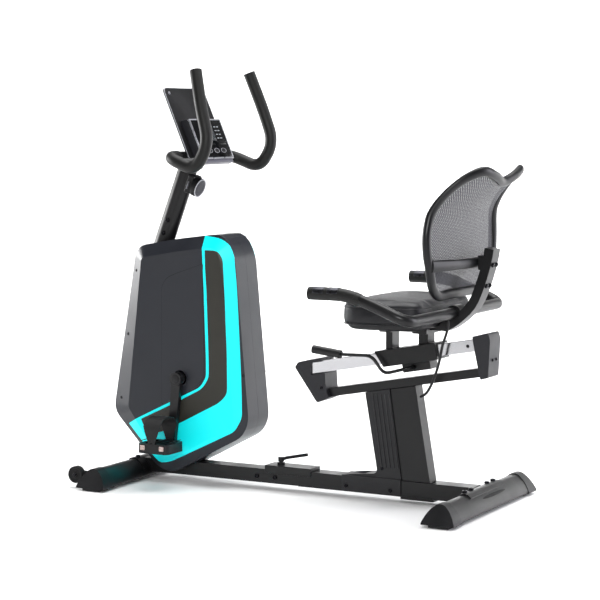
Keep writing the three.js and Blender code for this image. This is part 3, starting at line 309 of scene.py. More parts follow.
def domed_screw(name, place, direction, radius, body, material=None):
    """A low dome with a hexagonal socket, its face looking along a direction."""
    deselect()
    bpy.ops.mesh.primitive_cylinder_add(vertices=24, radius=radius / 1000, depth=radius * 0.6 / 1000)
    screw = added(name)
    bpy.ops.object.mode_set(mode="EDIT")
    bpy.ops.mesh.select_all(action="DESELECT")
    stop_editing()
    for face in screw.data.polygons:
        face.select = face.normal.z > 0.9
    bpy.ops.object.mode_set(mode="EDIT")
    bpy.ops.mesh.select_mode(type="FACE")
    bpy.ops.mesh.inset(thickness=radius * 0.22 / 1000)
    bpy.ops.transform.translate(value=(0, 0, radius * 0.28 / 1000))
    bpy.ops.mesh.inset(thickness=radius * 0.34 / 1000)
    bpy.ops.mesh.extrude_region_move(TRANSFORM_OT_translate={"value": (0, 0, -radius * 0.4 / 1000)})
    stop_editing()
    stand(screw, place, direction)
    round_edges(screw, radius * 0.1, 2)
    return finished(screw, material or zinc, body)


for index, y in enumerate((-44, 44)):
    domed_screw(f"front_saddle_screw_{index + 1}", at(-1022, y, 61.5), (0, 0, 1), 7, "frame")
for index, y in enumerate((-92, -52, 52, 92)):
    domed_screw(f"rear_saddle_screw_{index + 1}", at(-6, y, 61.4), (0, 0, 1), 7, "frame")
for side in (-1, 1):
    for index, x in enumerate((-650, -594)):
        bolt_name = f"beam_side_bolt_{index + 1}_{side_name[side]}"
        domed_screw(bolt_name, at(x, side * 25.6, 36), (0, side, 0), 6.5, "frame")
    for index, (x, z) in enumerate(((15, 580), (32, 634))):
        bolt_name = f"back_bolt_{index + 1}_{side_name[side]}"
        domed_screw(bolt_name, at(x, side * 11, z), (1, 0, -0.35), 6, "seat")

# A near-black lens on the ridge's rear face, under the rear saddle's flap, is painted shadow: the shade in the gap
# beneath the flap.
deselect()
bpy.ops.mesh.primitive_uv_sphere_add(segments=40, ring_count=12, radius=1)
slot_shadow = added("rear_saddle_flap_painted_shadow")
slot_shadow.scale = (0.0045, 0.074, 0.0016)
slot_shadow.rotation_euler = (0, radians(52), 0)
slot_shadow.location = at(27.6, 22, 40.6)
flap_shadow_paint = grained("painted_slot_shadow", "#040404", "#080808", 0.7, 1.0, 0.02)
finished(slot_shadow, flap_shadow_paint, "frame", angle=60)

# ------------------------------------------------------------ end caps, feet and transport wheels
# Injection-moulded polypropylene caps push over the stabiliser ends, with rubber pads underneath. The two
# small wheels at the front turn on pins moulded into their caps.

# Moulded polypropylene: even matt black, spark-eroded grain about 0.9 mm.
black_plastic = grained("moulded_polypropylene", "#0c0c0e", "#131316", 0.42, 0.9, 0.05)
tyre_rubber = grained("solid_rubber", "#101011", "#19191a", 0.72, 0.7, 0.05, patch=25)

for end in ("front", "rear"):
    for side in ("left", "right"):
        softened(f"{end}_end_cap_{side}", black_plastic, 1.2)

for side, sign in (("left", -1), ("right", 1)):
    low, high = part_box(f"transport_wheel_{side}")
    centre = (low + high) / 2
    radius = (high.x - low.x) / 2
    width = high.y - low.y
    deselect()
    bpy.ops.mesh.primitive_cylinder_add(
        vertices=64, radius=radius, depth=width, location=centre, rotation=(pi / 2, 0, 0))
    wheel = added(f"rolling_wheel_{side}")
    bpy.ops.object.transform_apply(location=False, rotation=True, scale=False)
    for face in wheel.data.polygons:
        face.select = abs(face.normal.y) > 0.9
    bpy.ops.object.mode_set(mode="EDIT")
    bpy.ops.mesh.select_mode(type="FACE")
    bpy.ops.mesh.inset(thickness=radius * 0.22)
    bpy.ops.mesh.inset(thickness=radius * 0.03, depth=-width * 0.12)
    bpy.ops.mesh.inset(thickness=radius * 0.34)
    bpy.ops.mesh.inset(thickness=radius * 0.05, depth=width * 0.1)
    stop_editing()
    round_edges(wheel, radius * 50, 3)
    finished(wheel, tyre_rubber, f"wheel_{side}")
    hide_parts(f"transport_wheel_{side}")
    pin_end = centre + Vector((0, sign * (width / 2 + 0.0012), 0))
    domed_screw(f"wheel_pin_head_{side}", pin_end, (0, sign, 0), 5, "frame")

# ------------------------------------------------------------ base clamp lever
# A ratchet lever moulded in glass-filled nylon turns a steel stud. It clamps the two sliding beams together
# inside their sleeve.

softened("clamp_lever", black_plastic, 0.9, segments=2)

# ------------------------------------------------------------ column cover
# A moulded cover closes the front of the column and sweeps down over the beam. Ribs run up each side to
# stiffen it, and screws hold its skirt to the beam.

cover_plastic = grained("moulded_cover_plastic", "#171719", "#1f1f22", 0.42, 0.9, 0.06)
softened("column_cover", cover_plastic, 2.2)
column_lean = Vector((-35.0, 0, 240.0)).normalized()
rib_length = 0.196
for side in (-1, 1):
    for rib in range(5):
        foot = at(-272 + rib * 12, side * 24.6, 92)
        deselect()
        bpy.ops.mesh.primitive_cylinder_add(vertices=12, radius=0.0024, depth=rib_length)
        bar = added(f"cover_rib_{side_name[side]}_{rib + 1}")
        stand(bar, foot + column_lean * rib_length / 2, column_lean)
        round_edges(bar, 1.2, 2)
        finished(bar, cover_plastic, "frame")
    for index, (x, z) in enumerate(((-376, 34), (-246, 32))):
        screw_name = f"skirt_screw_{side_name[side]}_{index + 1}"
        domed_screw(screw_name, at(x, side * 28.6, z), (0, side, 0), 5.5, "frame")
    domed_screw(f"cover_screw_{side_name[side]}", at(-272, side * 25.2, 88), (0, side, 0), 4.5, "frame")

# ------------------------------------------------------------ seat rail
# An extruded aluminium box with a bright brushed face, cut to length. Latch holes are drilled near its upper
# end.

rail_metal = shader_of("brushed_aluminium", "#c9c9cc", 0.22, metallic=1.0)
slope = radians(10.4)
place = add_node(rail_metal, "ShaderNodeTexCoord")
# The brush marks run along the rail: each is about 0.4 mm wide and 80 mm long, turned to the rail's slope.
lay = add_node(
    rail_metal, "ShaderNodeMapping",
    {"Rotation": (0, slope, 0), "Scale": (12, 2500, 2500)}, {"Vector": place.outputs["Object"]})
marks = add_node(
    rail_metal, "ShaderNodeTexNoise", {"Scale": 1.0, "Detail": 3.0}, {"Vector": lay.outputs["Vector"]})
gloss = add_node(
    rail_metal, "ShaderNodeMapRange", {"To Min": 0.1, "To Max": 0.26}, {"Value": marks.outputs["Fac"]})
dents = add_node(
    rail_metal, "ShaderNodeBump", {"Strength": 0.35, "Distance": 0.00006}, {"Height": marks.outputs["Fac"]})
feed(rail_metal, {"Roughness": gloss.outputs["Result"], "Normal": dents.outputs["Normal"]})
softened("seat_rail", rail_metal, 2.4)
# Near-black for holes, grooves and sunk screws: painted shade of the hollows.
painted_hollow_shade = grained("shadowed_hole", "#050505", "#0a0a0a", 0.8, 1.0, 0.02)
# Each latch hole is a thin near-black disc on the rail's face: painted shade inside the hole.
for side in (-1, 1):
    for hole, along in enumerate((458, 486)):
        below = 16
        middle_x = -481 + along * cos(slope) + below * sin(slope)
        middle_z = 359 + along * sin(slope) - below * cos(slope)
        deselect()
        bpy.ops.mesh.primitive_cylinder_add(
            vertices=24, radius=0.0045, depth=0.0012, location=at(middle_x, side * 29.7, middle_z),
            rotation=(pi / 2, 0, 0))
        disc = added(f"latch_hole_shade_{side_name[side]}_{hole + 1}")
        finished(disc, painted_hollow_shade, "frame")

# ------------------------------------------------------------ rail end covers
# Two-part moulded plastic ends close the rail and the beam under it, and stop the seat's slide. Screws go
# in from the sides and the back.

end_plastic = grained("moulded_end_plastic", "#19191d", "#232328", 0.42, 0.9, 0.05)
softened("rail_cover_front", end_plastic, 3.5, segments=4)
softened("rail_cover_rear", end_plastic, 4.5, segments=4)
for side in (-1, 1):
    hand = side_name[side]
    domed_screw(f"front_cover_screw_{hand}", at(-447, side * 35.2, 292), (0, side, 0), 4.5, "frame")
    domed_screw(f"rear_cover_screw_{hand}", at(34, side * 12, 392), (1, 0, 0), 4, "frame")

# ------------------------------------------------------------ drive housing
# Two halves moulded in slate grey ABS meet down the middle. A printed film in cyan and brown-black is laid
# on each side before the screws go in, and a panel stands proud of the face.

# ABS shell: fine grain of 0.7 mm, satin, a shade towards violet.
shell_plastic = grained("moulded_slate_abs", "#1d1f25", "#25272e", 0.34, 0.7, 0.05, patch=120)
# Printed films: a smooth satin ink under a clear coat.
cyan_film = grained("cyan_printed_film", "#00f4fb", "#06fbff", 0.42, 1.4, 0.01, patch=90)
brown_film = grained("brown_black_printed_film", "#26251f", "#2f2d28", 0.42, 1.4, 0.02, patch=60)

edge_y, face_y = 0.057, 0.078
wall = 0.003
# The shell's rings of points between the edge wall and the face: where they start, part and end, in depth.
ring_start, ring_part, ring_end = 0.0685, 0.071, 0.0738


def flat_bevel(shell):
    """One flat bevel from the edge wall to the face, and broader ahead of the cranks than above them."""
    for vertex in shell.data.vertices:
        depth = abs(vertex.co.y)
        if depth < ring_start:
            continue
        share = 1.0
        if depth < ring_end:
            share = 0.42
            outer = depth > ring_part
            low_y, high_y = (edge_y, face_y) if outer else (edge_y - 0.4 * wall, face_y - wall)
            vertex.co.y = math.copysign(low_y + share * (high_y - low_y), vertex.co.y)
        ahead = max(0, at(-960, 0, 0).x - vertex.co.x) / 0.06
        low = min(1, max(0, (0.62 - vertex.co.z) / 0.42))
        vertex.co.x += 0.024 * min(1, ahead) * low * share


shell_pieces = {}
for side in ("left", "right"):
    shell_pieces[side] = softened(f"housing_{side}", shell_plastic, 2.4, angle=19, reshape=flat_bevel)

# A film's cutter starts inside the edge wall's rim and ends clear of the face, in mm from the middle.
film_from, film_to = 56.5, 120


def film(name, outline, side, lift, material):
    """The part of the housing's own skin inside an outline in X and Z, lifted off it by a little."""
    cutter_mesh = bpy.data.meshes.new(name + "_cutter")
    count = len(outline)
    near, far = side * film_from, side * film_to
    cutter_mesh.from_pydata(
        [tuple(at(x, y, z)) for y in (near, far) for x, z in outline], [],
        [list(range(count)), list(range(count, 2 * count))]
        + [[k, (k + 1) % count, count + (k + 1) % count, count + k] for k in range(count)])
    cutter = new_piece(name + "_cutter", cutter_mesh)
    edit_all()
    bpy.ops.mesh.normals_make_consistent(inside=False)
    stop_editing()
    piece = new_piece(name, shell_pieces[side_name[side]].data.copy())
    shared = piece.modifiers.new("cut out", "BOOLEAN")
    shared.operation = "INTERSECT"
    shared.object = cutter
    shared.solver = "EXACT"
    bpy.ops.object.modifier_apply(modifier=shared.name)
    raise_up = piece.modifiers.new("lift", "DISPLACE")
    raise_up.strength = lift / 1000
    raise_up.mid_level = 0
    bpy.ops.object.modifier_apply(modifier=raise_up.name)
    bpy.data.objects.remove(cutter)
    return finished(piece, material, "frame", angle=40, flat_faces=True)


def bend(start, corner, end, pieces):
    """Points along a short curve that turns a corner."""
    steps = [step / pieces for step in range(pieces + 1)]
    return [start * (1 - t) ** 2 + corner * 2 * t * (1 - t) + end * t ** 2 for t in steps]


def rounded(corners, pieces=4):
    """A closed outline with each corner (x, z, reach) turned into a short curve."""
    points = []
    for index, (x, z, reach) in enumerate(corners):
        here = Vector((x, z))
        before = Vector(corners[index - 1][:2]) - here
        after = Vector(corners[(index + 1) % len(corners)][:2]) - here
        reach = min(reach, before.length * 0.48, after.length * 0.48)
        start, end = here + before.normalized() * reach, here + after.normalized() * reach
        points += [tuple(point) for point in bend(start, here, end, pieces)]
    return points


band_outline = rounded([
    (-791, 688, 0.1), (-737, 683, 26), (-703, 655, 22), (-693, 560, 40), (-684, 421, 60), (-676, 286, 40),
    (-673, 196, 16), (-694, 160, 14), (-768, 124, 30), (-896, 62, 16), (-934, 56, 10), (-960, 76, 4),
    (-1039, 157, 3), (-996, 179, 3), (-875, 238, 3), (-796, 276, 20), (-778, 305, 12), (-778, 352, 10),
    (-784, 540, 10),
])
brown_outline = rounded([
    (-780, 650, 2), (-742, 650, 14), (-727, 628, 16), (-719, 510, 40), (-713, 380, 30), (-712, 262, 16),
    (-738, 237, 14), (-877, 166, 14), (-908, 150, 10), (-934, 141, 12), (-960, 146, 10), (-981, 159, 4),
    (-988, 175, 2), (-876, 228, 3), (-789, 272, 20), (-769, 304, 12), (-769, 352, 10), (-771, 420, 10),
    (-775, 540, 10), (-779, 600, 10),
])
panel_outline = rounded([
    (-787, 612, 3), (-872, 583, 12), (-904, 569, 14), (-918, 545, 14), (-919, 222, 6), (-875, 243, 3),
    (-803, 279, 20), (-785, 307, 12), (-785, 352, 10), (-790, 560, 6),
])
groove_outline = rounded([
    (-785.6, 614, 3), (-871.6, 585, 12), (-905, 571, 14), (-919.8, 546, 14), (-920.8, 220, 6), (-875, 243, 3),
    (-803, 279, 20), (-785, 307, 12), (-785, 352, 10), (-789, 560, 6),
])
shell_screws = ((-1008, 587), (-1038, 409), (-1062, 229), (-1040, 131), (-672, 313), (-800, 80))
for side, sign in (("left", -1), ("right", 1)):
    film(f"cyan_band_{side}", band_outline, sign, 0.35, cyan_film)
    film(f"brown_panel_{side}", brown_outline, sign, 0.7, brown_film)
    # The groove round the raised panel is a thin near-black film lifted off the shell: painted shade of the
    # groove.
    film(f"panel_groove_{side}", groove_outline, sign, 0.15, painted_hollow_shade)
    film(f"raised_panel_{side}", panel_outline, sign, 1.3, shell_plastic)
    # The shell's screws sit 1 mm down in their holes and are near-black: painted shade of the holes.
    for index, (x, z) in enumerate(shell_screws):
        hit, spot, normal, _ = shell_pieces[side].ray_cast(at(x, sign * 200, z), (0, -sign, 0))
        if hit:
            sunk = spot - normal * 0.001
            domed_screw(f"shell_screw_{side}_{index + 1}", sunk, normal, 4.2, "frame", painted_hollow_shade)

# ------------------------------------------------------------ cranks, pedals and straps
# Forged cranks are keyed to the spindle and painted black. Each pedal is a moulded cage with reflectors on
# its ends, and a rubber strap holds the foot.

crank_paint = grained("black_enamelled_forging", "#0f0f10", "#19191b", 0.3, 2.2, 0.06)
bright_steel = grained("bright_turned_steel", "#8c8d90", "#a5a6aa", 0.24, 0.6, 0.01, metallic=1.0, patch=12)
strap_rubber = grained("strap_rubber", "#111112", "#1b1b1c", 0.6, 0.8, 0.06, patch=20)
reflector = shader_of("prismatic_reflector", "#c9c2bd", 0.16)
place = add_node(reflector, "ShaderNodeTexCoord")
cells = add_node(reflector, "ShaderNodeTexVoronoi", {"Scale": 450.0}, {"Vector": place.outputs["Object"]})
facets = add_node(
    reflector, "ShaderNodeBump", {"Strength": 0.8, "Distance": 0.0006}, {"Height": cells.outputs["Distance"]})
tone = add_node(
    reflector, "ShaderNodeMix", {"data_type": "RGBA", 6: linear("#d8d2cc"), 7: linear("#9a6a66")},
    {0: cells.outputs["Distance"]})
feed(reflector, {"Normal": facets.outputs["Normal"], "Base Color": tone.outputs[2]})



def block(name, size, place):
    """A block of a size in mm, to be rounded."""
    deselect()
    bpy.ops.mesh.primitive_cube_add(size=1, location=place)
    piece = added(name)
    piece.scale = [side / 1000 for side in size]
    return piece


softened("crank_spindle", bright_steel, 0.8)
for side, sign in (("left", -1), ("right", 1)):
    softened(f"crank_arm_{side}", crank_paint, 1.8)
    softened(f"pedal_{side}", black_plastic, 1.2, segments=2)
    strap = softened(f"pedal_strap_{side}", strap_rubber, 0.6, segments=2)
    low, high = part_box(f"pedal_strap_{side}")
    # The strap narrows towards its foot, where it buckles to the cage.
    middle_x = (low.x + high.x) / 2
    for vertex in strap.data.vertices:
        share = (vertex.co.z - low.z) / (high.z - low.z)
        vertex.co.x = middle_x + (vertex.co.x - middle_x) * (0.42 + 0.75 * min(1, share * 1.5))
    hub = at(-861, sign * 105.6, 297)
    deselect()
    bpy.ops.mesh.primitive_cylinder_add(
        vertices=32, radius=0.0125, depth=0.0012, location=hub, rotation=(pi / 2, 0, 0))
    cap = added(f"crank_cap_{side}")
    round_edges(cap, 0.5, 2)
    finished(cap, black_plastic, "crank")
    low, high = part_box(f"pedal_{side}")
    centre = (low + high) / 2
    for end, direction in (("front", -1), ("rear", 1)):
        lens_place = (centre.x + direction * 0.03, low.y if sign < 0 else high.y, centre.z)
        lens = block(f"pedal_reflector_{side}_{end}", (14, 4, 13), lens_place)
        round_edges(lens, 1.2, 3)
        finished(lens, reflector, f"pedal_{side}")
    # Raised treads on the top of the pedal.
    treads = ((-0.045, 60), (-0.02, 1), (0.02, 1), (0.045, 60))
    for tread, (along, ridge_width) in enumerate(treads):
        tread_place = (centre.x + along, centre.y, high.z + 0.0006)
        ridge = block(f"pedal_tread_{side}_{tread + 1}", (3, ridge_width, 1.6), tread_place)
        round_edges(ridge, 0.4, 2)
        finished(ridge, black_plastic, f"pedal_{side}")

# ------------------------------------------------------------ hidden drive
# Behind the shell turn a cast flywheel and a moulded pulley with a ribbed belt. A bracket of magnets swings
# over the flywheel's rim, and stamped steel plates carry it all.

cast_iron = grained("turned_cast_iron", "#3a3b3e", "#4b4c50", 0.42, 1.2, 0.04, metallic=0.9)
zinc_plate = grained("zinc_plated_steel", "#84868b", "#9a9ca2", 0.34, 1.0, 0.02, metallic=1.0, patch=30)
belt_rubber = grained("ribbed_belt_rubber", "#121213", "#1a1a1b", 0.66, 0.8, 0.05, patch=20)


def refinished(node, material):
    """Gives a CAD node that keeps its shape a better material."""
    shape = frame["nodes"][node].data
    shape.materials.clear()
    shape.materials.append(material)


for node, material in (
    ("flywheel", cast_iron), ("drive_pulley", black_plastic), ("drive_belt", belt_rubber),
    ("idler_arm", zinc_plate), ("idler_wheel", black_plastic), ("magnet_bracket", zinc_plate),
    ("drive_plate_left", zinc_plate), ("drive_plate_right", zinc_plate),
):
    refinished(node, material)

# ------------------------------------------------------------ handlebar and foam
# A bent and powder coated steel tube goes through the post. Closed-cell foam sleeves are blown onto both
# arms, and stop short of the post.

foam = grained("closed_cell_foam", "#0b0b0a", "#131312", 0.5, 1.1, 0.1, patch=35)
refinished("handlebar", powder_coat)


def tube_along(name, points, radius, resolution, closed=False):
    """A round bar or cord along a line of points, with a radius in mm."""
    curve = bpy.data.curves.new(name, "CURVE")
    curve.dimensions = "3D"
    curve.bevel_depth = radius / 1000
    curve.bevel_resolution = resolution
    curve.use_fill_caps = True
    spline = curve.splines.new("POLY")
    spline.points.add(len(points) - 1)
    for point, spot in zip(spline.points, points):
        point.co = (*spot, 1)
    spline.use_cyclic_u = closed
    new_piece(name, curve)
    bpy.ops.object.convert(target="MESH")
    return bpy.context.object


def smooth_tube(name, corners, radius, material, body, sides=32):
    """A round bar along straight runs and bends; a corner is (x, y, z, reach) in mm."""
    points = []
    for index, (x, y, z, reach) in enumerate(corners):
        here = at(x, y, z)
        if index in (0, len(corners) - 1):
            points.append(here)
            continue
        before = at(*corners[index - 1][:3]) - here
        after = at(*corners[index + 1][:3]) - here
        start = here + before.normalized() * reach / 1000
        end = here + after.normalized() * reach / 1000
        points += bend(start, here, end, 12)
    piece = tube_along(name, points, radius, sides // 4 - 2)
    # The ends close in over the last few millimetres.
    round_edges(piece, radius * 0.35, 4, 60)
    return finished(piece, material, body, angle=50)


handle_arm = [
    (-767.4, -141.9, 1131.7, 0), (-738, -165, 1035, 30), (-708, -176, 938, 42), (-752, -174, 868, 34),
    (-842, -168, 903, 40), (-842, -118, 903, 0),
]
for side, sign in (("left", 1), ("right", -1)):
    arm = [(x, y * sign, z, reach) for x, y, z, reach in handle_arm]
    grip = smooth_tube(f"foam_sleeve_{side}", arm, 16.5, foam, "frame")
    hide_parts(f"handlebar_foam_{side}")

# ------------------------------------------------------------ tension knob
# A moulded knob with a silver ring and a grey dished centre turns on its housing behind the post. Inside, it
# winds up the cable that swings the magnets.

silver_paint = grained(
    "silver_painted_plastic", "#8f9096", "#a7a8ae", 0.3, 0.8, 0.02, metallic=0.55, patch=20)
knob_grey = grained("grey_moulded_knob_face", "#1d1d25", "#282832", 0.55, 0.8, 0.04, patch=15)
softened("tension_knob_base", black_plastic, 4.0, segments=4)
lean = radians(21.1)
knob_axis = Vector((cos(lean), 0, -sin(lean)))
knob_joint = next(joint for joint in frame["joints"] if joint["name"] == "tension_turn")
knob_seat = Vector(knob_joint["pos_m"]) + knob_axis * 0.0007


def turned(name, profile, material):
    """A round piece of the knob, from a profile of (radius, height) in mm, foot first."""
    mesh = bpy.data.meshes.new(name)
    lines = [(i, i + 1) for i in range(len(profile) - 1)]
    mesh.from_pydata([(r / 1000, 0, h / 1000) for r, h in profile], lines, [])
    piece = new_piece(name, mesh)
    edit_all()
    bpy.ops.mesh.spin(steps=48, angle=2 * pi, center=(0, 0, 0), axis=(0, 0, 1))
    bpy.ops.mesh.select_all(action="SELECT")
    bpy.ops.mesh.remove_doubles(threshold=0.00001)
    bpy.ops.mesh.normals_make_consistent(inside=False)
    stop_editing()
    stand(piece, knob_seat, knob_axis)
    return finished(piece, material, "knob")


grip_profile = [(0, 0), (26.4, 0), (27, 0.8), (27, 13.5), (26.2, 15.4), (24.6, 16.2), (0, 16.2)]
ring_profile = [
    (23, 15.5), (26.4, 15.5), (26.9, 16.2), (26.6, 17.0), (25.4, 17.4), (23.8, 17.1), (23.2, 16.4),
    (23, 15.5),
]
face_profile = [
    (0, 14), (23.4, 14), (23.4, 16.5), (22.6, 16.8), (15, 16.8), (14.4, 16.1), (13.6, 16.8), (0, 16.8),
]
knob = turned("knob_grip", grip_profile, black_plastic)
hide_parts("tension_knob")
turned("knob_ring", ring_profile, silver_paint)
turned("knob_face", face_profile, knob_grey)

# ------------------------------------------------------------ console and tablet rest
# A silver-painted meter case holds a dark display window with three soft keys below it. The flat moulded
# plate behind it holds a tablet.

softened("tablet_rest", black_plastic, 1.6, segments=3)
softened("console_body", end_plastic, 2.2, segments=3)
tilt = radians(23.4)


def on_console(out, across, up):
    """A point in mm in front of the plate, across it and up it, from the plate's foot."""
    return at(-812 + out * cos(tilt) - up * sin(tilt), across, 899 + out * sin(tilt) + up * cos(tilt))


def console_block(name, low, high, material, bevel_mm, body="frame"):
    """A small block with round edges that stands on the leaning console."""
    middle_of_block = on_console(*[(a + b) / 2 for a, b in zip(low, high)])
    piece = block(name, [b - a for a, b in zip(low, high)], middle_of_block)
    bpy.ops.object.transform_apply(location=False, rotation=False, scale=True)
    piece.rotation_euler = (0, -tilt, 0)
    round_edges(piece, bevel_mm, 3)
    return finished(piece, material, body)


# Polycarbonate window: black and glossy, with faint dust.
window = grained("black_display_window", "#060708", "#0b0c0e", 0.09, 3.0, 0.002, patch=40)
liquid_crystal = grained("grey_liquid_crystal", "#20262a", "#282f33", 0.25, 2.0, 0.002, patch=25)
print_grey = grained("grey_screen_print", "#8d9296", "#9ca1a5", 0.45, 1.0, 0.005, patch=10)
digit_grey = grained("dark_display_segment", "#14181a", "#1a1f22", 0.3, 1.0, 0.002, patch=10)
grey_lip = grained("grey_violet_plastic", "#4a4a54", "#5a5a64", 0.4, 0.8, 0.03, patch=20)
glass = console_block("display_window", (26.3, -66, 27), (28.8, 66, 93), window, 1.0)
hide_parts("console_screen")
console_block("liquid_crystal", (28.6, -48, 38), (29.0, 22, 84), liquid_crystal, 0.15)
# Four silver strips frame the face, over a grey-violet lip.
for name, low, high in (
    ("bottom", (23.5, -80.4, -14.6), (29.0, 80.4, -10.4)),
    ("top", (21.5, -80.4, 98.6), (29.0, 80.4, 102.2)),
    ("left", (23.5, -80.5, -13), (29.0, -76.6, 101)),
    ("right", (23.5, 76.6, -13), (29.0, 80.5, 101)),
):
    console_block("case_frame_" + name, low, high, silver_paint, 1.2)
console_block("case_lip", (9, -74, -25.4), (27.4, 74, -14.8), grey_lip, 3.0)
console_block("face_plate", (27.6, -76.8, -10.6), (28.3, 76.8, 98.8), window, 0.2)
for row in range(4):
    for column in range(2):
        console_block(
            f"printed_mark_{row + 1}_{column + 1}", (28.6, 30 + column * 15, 44 + row * 11),
            (29.0, 40 + column * 15, 46.4 + row * 11), print_grey, 0.15)
for digit in range(4):
    left = -42 + digit * 16
    for bar_name, (start, end), (foot, top) in (
        ("top", (0, 9), (74, 75.6)), ("middle", (0, 9), (65, 66.6)), ("bottom", (0, 9), (56, 57.6)),
        ("near", (0, 1.6), (57, 75)), ("far", (8, 9.6), (57, 75)),
    ):
        low, high = (28.8, left + start, foot), (29.15, left + end, top)
        console_block(f"digit_{digit + 1}_{bar_name}", low, high, digit_grey, 0.12)
for key, across in (("left", -36), ("middle", 0), ("right", 36)):
    softened(f"console_button_{key}", black_plastic, 2.0, segments=3)
    deselect()
    bpy.ops.mesh.primitive_torus_add(
        major_segments=48, minor_segments=8, major_radius=0.0105, minor_radius=0.0007)
    ring = added(f"key_ring_{key}")
    ring.rotation_euler = (0, pi / 2 - tilt, 0)
    ring.scale = (0.62, 1.15, 1)
    ring.location = on_console(30.8, across, 8)
    finished(ring, silver_paint, f"button_{key}", angle=60)
# A thin silver cord round the edge of the tablet rest is painted highlight: it stands for the plate's lit edge. A
# bright rivet sits in each top corner.
lit_edge_outline = rounded(
    [(-104.4, 1, 2), (-104.4, 205.4, 16), (104.4, 205.4, 16), (104.4, 1, 2)], pieces=8)
lit_edge_points = [on_console(0.2, across, up) for across, up in lit_edge_outline]
lit_edge_corners = [((p.x - rear_axis) * 1000, p.y * 1000, p.z * 1000, 0) for p in lit_edge_points]
smooth_tube("tablet_rest_painted_edge_highlight", lit_edge_corners, 0.8, silver_paint, "frame", sides=12)
for side in (-1, 1):
    domed_screw(
        f"tablet_rest_hole_{side_name[side]}", on_console(0.4, side * 84, 190), (cos(tilt), 0, sin(tilt)), 4,
        "frame", silver_paint)

# ------------------------------------------------------------ post fastenings
# Two socket screws fix the post to its foot, and a narrow plate covers the tension cable's way in.

strip = block("cable_plate", (2, 12, 22), knob_seat - knob_axis * 0.009 + Vector((0, -0.0232, 0)))
strip.rotation_euler = (0, lean, 0)
round_edges(strip, 0.6, 2)
finished(strip, silver_paint, "frame")
for index, z in enumerate((690, 726)):
    x = -957 + (z - 668) * math.tan(lean)
    for side in (-1, 1):
        bolt_name = f"post_bolt_{index + 1}_{side_name[side]}"
        domed_screw(bolt_name, at(x, side * 21.6, z), (0, side, 0), 6.5, "frame")

# ------------------------------------------------------------ seat release lever
# A bent steel rod comes round from the latch under the carriage, with a vinyl sleeve for the hand.

vinyl = grained("dipped_vinyl", "#121213", "#1b1b1d", 0.4, 1.0, 0.05, patch=20)
rod = smooth_tube("release_rod", [
    (-452, -64, 398, 0), (-375, -64, 389, 14), (-284, -64, 391, 20), (-250, -62, 345, 18),
    (-182, -58, 363, 12), (-182, -11, 363, 0),
], 4.5, powder_coat, "seat_release", sides=20)
smooth_tube(
    "release_grip", [(-456, -64, 398.4, 0), (-374, -64, 388.9, 0)], 11.4, vinyl, "seat_release")
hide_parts("seat_lever")

# ------------------------------------------------------------ seat pan and cushion
# The pan is moulded. The cushion is cut foam under synthetic leather, sewn in two pieces with a piped seam
# round the top, and stapled under the pan's edge.

seat_base = softened("seat_pan", black_plastic, 2.0, segments=3)
pan_middle = (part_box("seat_pan")[0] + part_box("seat_pan")[1]) / 2
for vertex in seat_base.data.vertices:
    vertex.co.x = pan_middle.x + (vertex.co.x - pan_middle.x) * 0.96
    vertex.co.y *= 0.96

# Synthetic leather: polyurethane skin with a pebble grain about 1.5 mm across and fine creases between.
leather = shader_of("black_synthetic_leather", "#1a1a1d", 0.42, ior=1.47)
place = add_node(leather, "ShaderNodeTexCoord")
spot = {"Vector": place.outputs["Object"]}
pebbles = add_node(leather, "ShaderNodeTexVoronoi", {"feature": "DISTANCE_TO_EDGE", "Scale": 620.0}, spot)
pores = add_node(leather, "ShaderNodeTexNoise", {"Scale": 1400.0, "Detail": 2.0}, spot)
wear = add_node(leather, "ShaderNodeTexNoise", {"Scale": 14.0, "Detail": 4.0}, spot)
crease = add_node(leather, "ShaderNodeMapRange", {"From Max": 0.25}, {"Value": pebbles.outputs["Distance"]})
height = add_node(
    leather, "ShaderNodeMath", {"operation": "ADD"}, {0: crease.outputs["Result"], 1: pores.outputs["Fac"]})
relief = add_node(
    leather, "ShaderNodeBump", {"Strength": 0.5, "Distance": 0.00016}, {"Height": height.outputs["Value"]})
hue = add_node(
    leather, "ShaderNodeMix", {"data_type": "RGBA", 6: linear("#18181b"), 7: linear("#232327")},
    {0: wear.outputs["Fac"]})
sheen = add_node(
    leather, "ShaderNodeMapRange", {"To Min": 0.34, "To Max": 0.5}, {"Value": wear.outputs["Fac"]})
feed(leather, {
    "Base Color": hue.outputs[2], "Roughness": sheen.outputs["Result"], "Normal": relief.outputs["Normal"],
})

low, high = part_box("seat_cushion")
cushion = merged_copy("seat_cushion", "seat_cushion_cover")
# The cover is drawn down round the pan, and stapled under it.
drawn_down = 0.0155
for vertex in cushion.data.vertices:
    share = (high.z - vertex.co.z) / (high.z - low.z)
    vertex.co.z = high.z - share * (high.z - low.z + drawn_down)
low.z -= drawn_down
remesh = cushion.modifiers.new("even", "REMESH")
remesh.mode = "VOXEL"
remesh.voxel_size = 0.005
bpy.ops.object.modifier_apply(modifier=remesh.name)
rest_points = [vertex.co.copy() for vertex in cushion.data.vertices]
cloth = cushion.modifiers.new("padding", "CLOTH")
cloth.settings.use_pressure = True
cloth.settings.uniform_pressure_force = 4
cloth.settings.effector_weights.gravity = 0
for step in range(1, 21):
    scene.frame_set(step)
bpy.ops.object.modifier_apply(modifier=cloth.name)
scene.frame_set(1)
